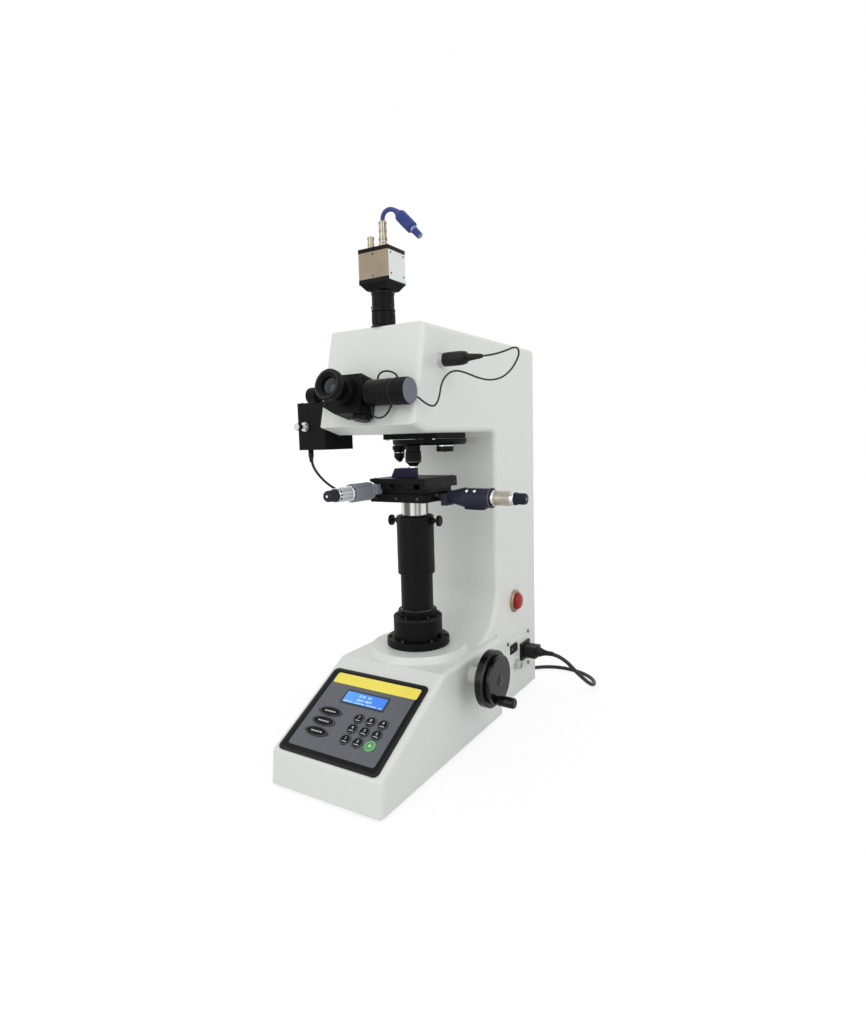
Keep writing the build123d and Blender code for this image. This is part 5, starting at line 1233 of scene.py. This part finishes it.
# ---------------------------------------------------------------- fittings on the right-hand wall and the box
class TESTER_OT_fittings(bpy.types.Operator):
    """Plugs, strain reliefs, power entry, stop button, sensor box and rear cover trim"""
    bl_idname = "tester.fittings"
    bl_label = "Fittings"

    def execute(self, context):
        t = context.scene.tester_colours
        self.rubber = moulded("fitting_rubber", linear("121214"), 0.45)
        self.silver = steel("fitting_nickel", linear("C9CACB"), 0.22)
        self.dark = steel("fitting_screw", linear("8F9192"), 0.26)
        self.mark = paint("fitting_marks", linear("E2E4E2"))
        self.plug()
        self.power()
        self.stop(t)
        self.box()
        self.rear()
        return {"FINISHED"}

    def plug(self):
        axis = to_right(0, *SOCKET)
        nickel = rings((0.0088, 0.01125, 0.0829, 0.0852, 0.0003), (0.0088, 0.0099, 0.0858, 0.0890, 0.0003))
        piece("socket_ring", nickel, self.silver, "frame", axis)
        heights = (SOCKET[1] + 9.4, SOCKET[1] - 9.4)
        screws = joined(*[(disc(0.0012, 0.0005, 0.0002, 16), to_right(WALL_X, SOCKET[0], z))
                          for z in heights])
        piece("socket_screws", screws, self.dark, "frame")
        ribs = joined(*[(ring(0.0080, 0.0099, x * MM, (x + 1.2) * MM, 0.0003), None)
                        for x in (93.5, 97.0, 100.5, 104.0, 107.5, 111.0)])
        add(ribs, ridges(36, 0.0096, 0.0010, 0.0003, 0.0938, 0.1158))
        add(ribs, ring(0.0070, 0.0090, 0.1192, 0.1222, 0.0004))
        for index in range(6):
            x = 126.5 + index * 3.3
            r = 5.0 - index * 0.33
            add(ribs, ring((r - 1.6) * MM, (r + 0.25) * MM, x * MM, (x + 1.5) * MM, 0.0003, 32))
        piece("din_plug_ribs", ribs, self.rubber, "frame", axis)

    def power(self):
        places = [to_right(WALL_X + 1.2, y, z) for y in (158, 248) for z in (48, 109)]
        cross_heads("power_plate", 0.0034, places, 0.6, steel("plate_screw", linear("9FA1A2"), 0.24),
                    "cross_recess_shade")
        wall = frame_at(Vector((WALL_X, 181, 95)) * MM, (1, 0, 0), (0, 1, 0))
        frame_bm = band((0.0282, 0.0166, 0.0018), (0.0246, 0.0130, 0.0008), 0.0014)
        piece("rocker_frame", frame_bm, self.rubber, "frame", wall)
        tilt = frame_at(Vector((86.75, 187, 95)) * MM, (1, -0.1666, 0), (0.1666, 1, 0))
        off = ring(0.0017, 0.0022, 0, 0.0001, 0.00002, 28)
        line = joined((plate(0.0006, 0.0044, 0.0001, 0.0001),
                       frame_at(Vector((86.12, 175.5, 95)) * MM, (1, -0.0833, 0), (0.0833, 1, 0))))
        piece("rocker_off_mark", off, self.mark, "power_rocker", tilt @ move(0, 0, 0.0001),
              smooth=False)
        piece("rocker_on_mark", line, self.mark, "power_rocker", move(0.0001, 0, 0),
              smooth=False)
        fuse = to_right(0, 189, 63)
        cap = joined((ring(0.0075, 0.00925, 0.0849, 0.0872, 0.0004), None),
                     (knurled(0.0077, 0.0905, 0.0962, 40, 0.0003, steps=40), None))
        pale = moulded("fuse_cap_pale", linear("CBCDC9"), 0.4)
        piece("fuse_cap_grip", cap, pale, "frame", fuse)
        # painted shade: a flat dark bar on the cap stands in for the shade in its slot
        piece("fuse_cap_slot", plate(0.0100, 0.0013, 0.0003, 0.0002), paint("fuse_slot_shade", linear("1D1D1E")),
              "frame", fuse @ move(0, 0, 0.09695), smooth=False)
        around_inlet = frame_at(Vector((88.0, 230, 77.75)) * MM, (1, 0, 0), (0, 1, 0))
        rim = band((0.0396, 0.0318, 0.0030), (0.0318, 0.0238, 0.0052), 0.0008)
        piece("inlet_flange_rim", rim, self.rubber, "frame", around_inlet)
        boot = relief(((112.5, 9.3), (115.2, 8.6), (117.9, 7.9), (120.4, 6.7), (122.8, 5.7), (125.2, 5.1)),
                      1.2, 0.35, 1.3, [(0.0033, 0.1262), (0.0050, 0.1262), (0.0044, 0.1340), (0.0040, 0.1420),
                                       (0.0033, 0.1420), (0.0033, 0.1262)])
        piece("inlet_boot_ribs", boot, self.rubber, "frame", to_right(0, *INLET))
        grips = bmesh.new()
        for side in (-1, 1):
            for index in range(5):
                add(grips, plate(0.0012, 0.0140, 0.0005, 0.0005, 0.0002),
                    frame_at(Vector((95.5 + 3 * index, 230, 78 + 11 * side)) * MM, (0, 0, side), (1, 0, 0)))
        piece("inlet_plug_grips", grips, self.rubber, "frame")
        x, y, z = MAINS_PLUG
        end = relief(((-2.5, 5.0), (0.6, 5.0), (3.7, 5.0), (6.8, 5.0)), 1.4, 0.4, 1.4,
                     [(0.0033, 0.0118), (0.0052, 0.0118), (0.0046, 0.0180), (0.0041, 0.0250),
                      (0.0033, 0.0250), (0.0033, 0.0118)])
        piece("mains_plug_boot", end, self.rubber, "frame",
              frame_at(Vector((x, y, z)) * MM, (1, 0, 0)))
        ribs = bmesh.new()
        for side in (-1, 1):
            for index in range(5):
                add(ribs, plate(0.0014, 0.0130, 0.0005, 0.0006, 0.0002),
                    frame_at(Vector((-97 + 4 * index, y + 18 * side, z)) * MM, (0, side, 0), (1, 0, 0)))
        piece("mains_plug_grips", ribs, self.rubber, "frame")
        pins = joined(*[(turned([(0.00242, 0.0418), (0.0026, 0.0418), (0.0026, 0.0606), (0.0018, 0.0612),
                                 (0, 0.0612)], 24),
                         frame_at(Vector((x, y + side, z)) * MM, (-1, 0, 0))) for side in (-9.5, 9.5)])
        piece("mains_plug_pins", pins, self.silver, "frame")

    def stop(self, t):
        axis = to_right(0, *STOP)
        red = moulded("stop_dome_red", shade(t.button, 0.55), 0.14, 700.0)
        piece("stop_button_rim", knurled(0.01455, 0.0868, 0.0915, 48, 0.0003), red, "stop_button",
              axis)
        shell = rings((0.0153, 0.0202, 0.0829, 0.0848, 0.0004), (0.0153, 0.0170, 0.0880, 0.0884, 0.0001))
        piece("stop_collar_ring", shell, steel("stop_ring", linear("B9A387"), 0.28), "frame", axis)

    def box(self):
        seam = band((0.0542, 0.0662, 0.0026), (0.0534, 0.0654, 0.0022), 0.0004)
        piece("sensor_box_seam", seam, anodised("box_seam", linear("060607"), 0.5), "frame",
              upright(-110, -77, 524))
        small = joined(*[(hex_screw(0.0019, 0.0012), upright(x, y, 532)) for x in (-131, -89)
                         for y in (-104, -50)])
        piece("sensor_box_screws", small, self.dark, "frame")
        axis = to_front(-122.4, 0, 496.5)
        grip = knurled(0.0051, 0.1205, 0.1276, 28, 0.0003, steps=32)
        piece("box_screw_grip", grip, self.silver, "box_screw", axis)
        washer = ring(0.0031, 0.0072, 0.1099, 0.1108, 0.0002)
        piece("box_screw_washer", washer, self.silver, "frame", axis)
        boots = joined((turned([(0.0020, 0.0), (0.0042, 0.0), (0.0040, 0.0030), (0.0030, 0.0090),
                                (0.0025, 0.0130), (0.0020, 0.0130), (0.0020, 0.0)], 28),
                                frame_at(Vector((-127, -94, 455.6)) * MM, (0, 0, -1))),)
        piece("sensor_cord_boot", boots, self.rubber, "frame")
        tail = turned([(0.0028, 0.0502), (0.0054, 0.0502), (0.0054, 0.0552), (0.0046, 0.0560),
                       (0.0034, 0.0608), (0.0028, 0.0608), (0.0028, 0.0502)], 28)
        piece("sensor_plug_nut", tail, self.rubber, "elevator", to_left(0, -20, 385))

    def rear(self):
        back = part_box("rear_cover")[1].y / MM
        places = [to_back(x, back, z) for x in (-74, 74) for z in (22, 180, 340, 500, 618)]
        cross_heads("rear_cover", 0.0036, places, 0.5, self.dark, "rear_cross_recess_shade")
        lips = bmesh.new()
        for row in range(6):
            for side in (-1, 1):
                add(lips, band((0.0462, 0.0062, 0.0030), (0.0440, 0.0040, 0.0019), 0.0008),
                    frame_at(Vector((side * 32, back, 520 - row * 10)) * MM, (0, 1, 0), (1, 0, 0)))
        piece("rear_louvre_lips", lips, enamel("louvre_enamel", linear("D2D5CF"), 0.4), "frame")
        # painted shade: a dark sheet just inside the cover, behind the louvres, darkens the slots
        piece("rear_louvre_shade_sheet", plate(0.1260, 0.0600, 0.002, 0.0006), moulded("louvre_shade_sheet",
                                                                                linear("151517"), 0.6, 400.0),
                                                                                "frame",
                                                                                frame_at(Vector((0,
                                                                                                 back - 2.6,
                                                                                                 495)) * MM,
                                                                                                 (0, -1, 0),
                                                                                                 (1, 0, 0)))


# ---------------------------------------------------------------- stage
class TESTER_OT_studio(bpy.types.Operator):
    """Set the camera, the softboxes, the room light and the pale floor"""
    bl_idname = "tester.studio"
    bl_label = "Studio"

    def execute(self, context):
        scene, view = context.scene, context.scene.tester_view
        az, down, roll = view.azimuth, view.pitch, view.roll
        ahead = Vector((-sin(az) * cos(down), cos(az) * cos(down), sin(down)))
        right = Vector((cos(az), sin(az), 0))
        above = right.cross(ahead)
        right, above = right * cos(roll) + above * sin(roll), above * cos(roll) - right * sin(roll)
        data = bpy.data.cameras.new("studio_camera")
        data.sensor_fit, data.sensor_height, data.lens = "VERTICAL", 36, view.lens
        data.clip_start, data.clip_end = 0.02, 30
        camera = bpy.data.objects.new("studio_camera", data)
        scene.collection.objects.link(camera)
        camera.matrix_world = (Matrix.Translation(view.place)
                               @ Matrix((right, above, -ahead)).transposed().to_4x4())
        scene.camera = camera
        self.softbox("key_light", KEY_PLACE, view.key_power)
        self.softbox("fill_light", FILL_PLACE, view.fill_power)
        scene.view_settings.view_transform = "Standard"
        self.room(scene, view)
        self.floor()
        return {"FINISHED"}

    def softbox(self, name, place, power):
        data = bpy.data.lights.new(name, "AREA")
        data.shape, data.size, data.size_y, data.energy = "RECTANGLE", SOFTBOX_SIZE, SOFTBOX_SIZE, power
        light = bpy.data.objects.new(name, data)
        bpy.context.scene.collection.objects.link(light)
        aim = Vector(AIM) - Vector(place)
        light.matrix_world = Matrix.Translation(place) @ aim.to_track_quat("-Z", "Y").to_matrix().to_4x4()

    def room(self, scene, view):
        world = bpy.data.worlds.new("studio_room")
        scene.world = world
        world.use_nodes = True
        tree = world.node_tree
        background = tree.nodes["Background"]
        background.inputs["Color"].default_value = (1, 1, 1, 1)
        paths = tree.nodes.new("ShaderNodeLightPath")
        seen = tree.nodes.new("ShaderNodeMath")
        seen.operation, seen.use_clamp = "ADD", True
        through = tree.nodes.new("ShaderNodeMath")
        through.operation = "ADD"
        tree.links.new(paths.outputs["Is Glossy Ray"], through.inputs[0])
        tree.links.new(paths.outputs["Is Transmission Ray"], through.inputs[1])
        tree.links.new(paths.outputs["Is Camera Ray"], seen.inputs[0])
        tree.links.new(through.outputs[0], seen.inputs[1])
        level = tree.nodes.new("ShaderNodeMapRange")
        level.inputs["To Min"].default_value = view.world_level
        level.inputs["To Max"].default_value = 1.0
        tree.links.new(seen.outputs[0], level.inputs["Value"])
        tree.links.new(level.outputs[0], background.inputs["Strength"])

    def floor(self):
        f = Finish("studio_floor")
        paths = f.tree.nodes.new("ShaderNodeLightPath")
        seen = Wire(f, paths.outputs["Is Camera Ray"])
        plain = f.tree.nodes["Principled BSDF"]
        clouds = f.noise(1.5, 2.0)
        f.put(Base_Color=f.blend(clouds, (0.8, 0.8, 0.8), (0.82, 0.82, 0.82)), Roughness=0.6)
        glow = f.tree.nodes.new("ShaderNodeEmission")
        glow.inputs["Color"].default_value = (1, 1, 1, 1)
        glow.inputs["Strength"].default_value = FLOOR_GLOW
        mix = f.tree.nodes.new("ShaderNodeMixShader")
        reach = (f.axis(0) ** 2 + f.axis(1) ** 2) ** 0.5
        f.feed(mix.inputs[0], seen * (reach.between(FADE_START, FADE_END) * (1 - NEAR_GLOW) + NEAR_GLOW))
        f.tree.links.new(plain.outputs[0], mix.inputs[1])
        f.tree.links.new(glow.outputs[0], mix.inputs[2])
        f.tree.links.new(mix.outputs[0], f.tree.nodes["Material Output"].inputs["Surface"])
        bm = bmesh.new()
        bmesh.ops.create_grid(bm, x_segments=2, y_segments=2, size=FLOOR_SIZE)
        bmesh.ops.translate(bm, vec=(0, 0, -FLOOR_DROP), verts=bm.verts)
        mesh = bpy.data.meshes.new("studio_floor")
        bm.to_mesh(mesh)
        bm.free()
        mesh.materials.append(f.material)
        made = bpy.data.objects.new("studio_floor", mesh)
        bpy.context.scene.collection.objects.link(made)


# ---------------------------------------------------------------- add-on
OPERATORS = [TESTER_OT_studio, TESTER_OT_cords, TESTER_OT_finishes, TESTER_OT_keypad, TESTER_OT_lift_trim,
             TESTER_OT_micrometers, TESTER_OT_optics, TESTER_OT_camera_trim, TESTER_OT_fittings]


class TESTER_PT_dressing(bpy.types.Panel):
    """Sidebar panel with the tester's sizes, colours and steps"""
    bl_idname = "TESTER_PT_dressing"
    bl_label = "Hardness tester"
    bl_space_type = "VIEW_3D"
    bl_region_type = "UI"
    bl_category = "Tester"

    def draw(self, context):
        for name, group in GROUPS.items():
            box = self.layout.box()
            for key in group.__annotations__:
                box.prop(getattr(context.scene, name), key)
        for operator in OPERATORS:
            self.layout.operator(operator.bl_idname)


def register():
    for kind in [*GROUPS.values(), *OPERATORS, TESTER_PT_dressing]:
        bpy.utils.register_class(kind)
    for name, group in GROUPS.items():
        setattr(bpy.types.Scene, name, PointerProperty(type=group))


def unregister():
    for name in GROUPS:
        delattr(bpy.types.Scene, name)
    for kind in reversed([*GROUPS.values(), *OPERATORS, TESTER_PT_dressing]):
        bpy.utils.unregister_class(kind)


def main():
    register()
    for operator in OPERATORS:
        category, name = operator.bl_idname.split(".")
        getattr(getattr(bpy.ops, category), name)()


if __name__ == "__main__":
    main()
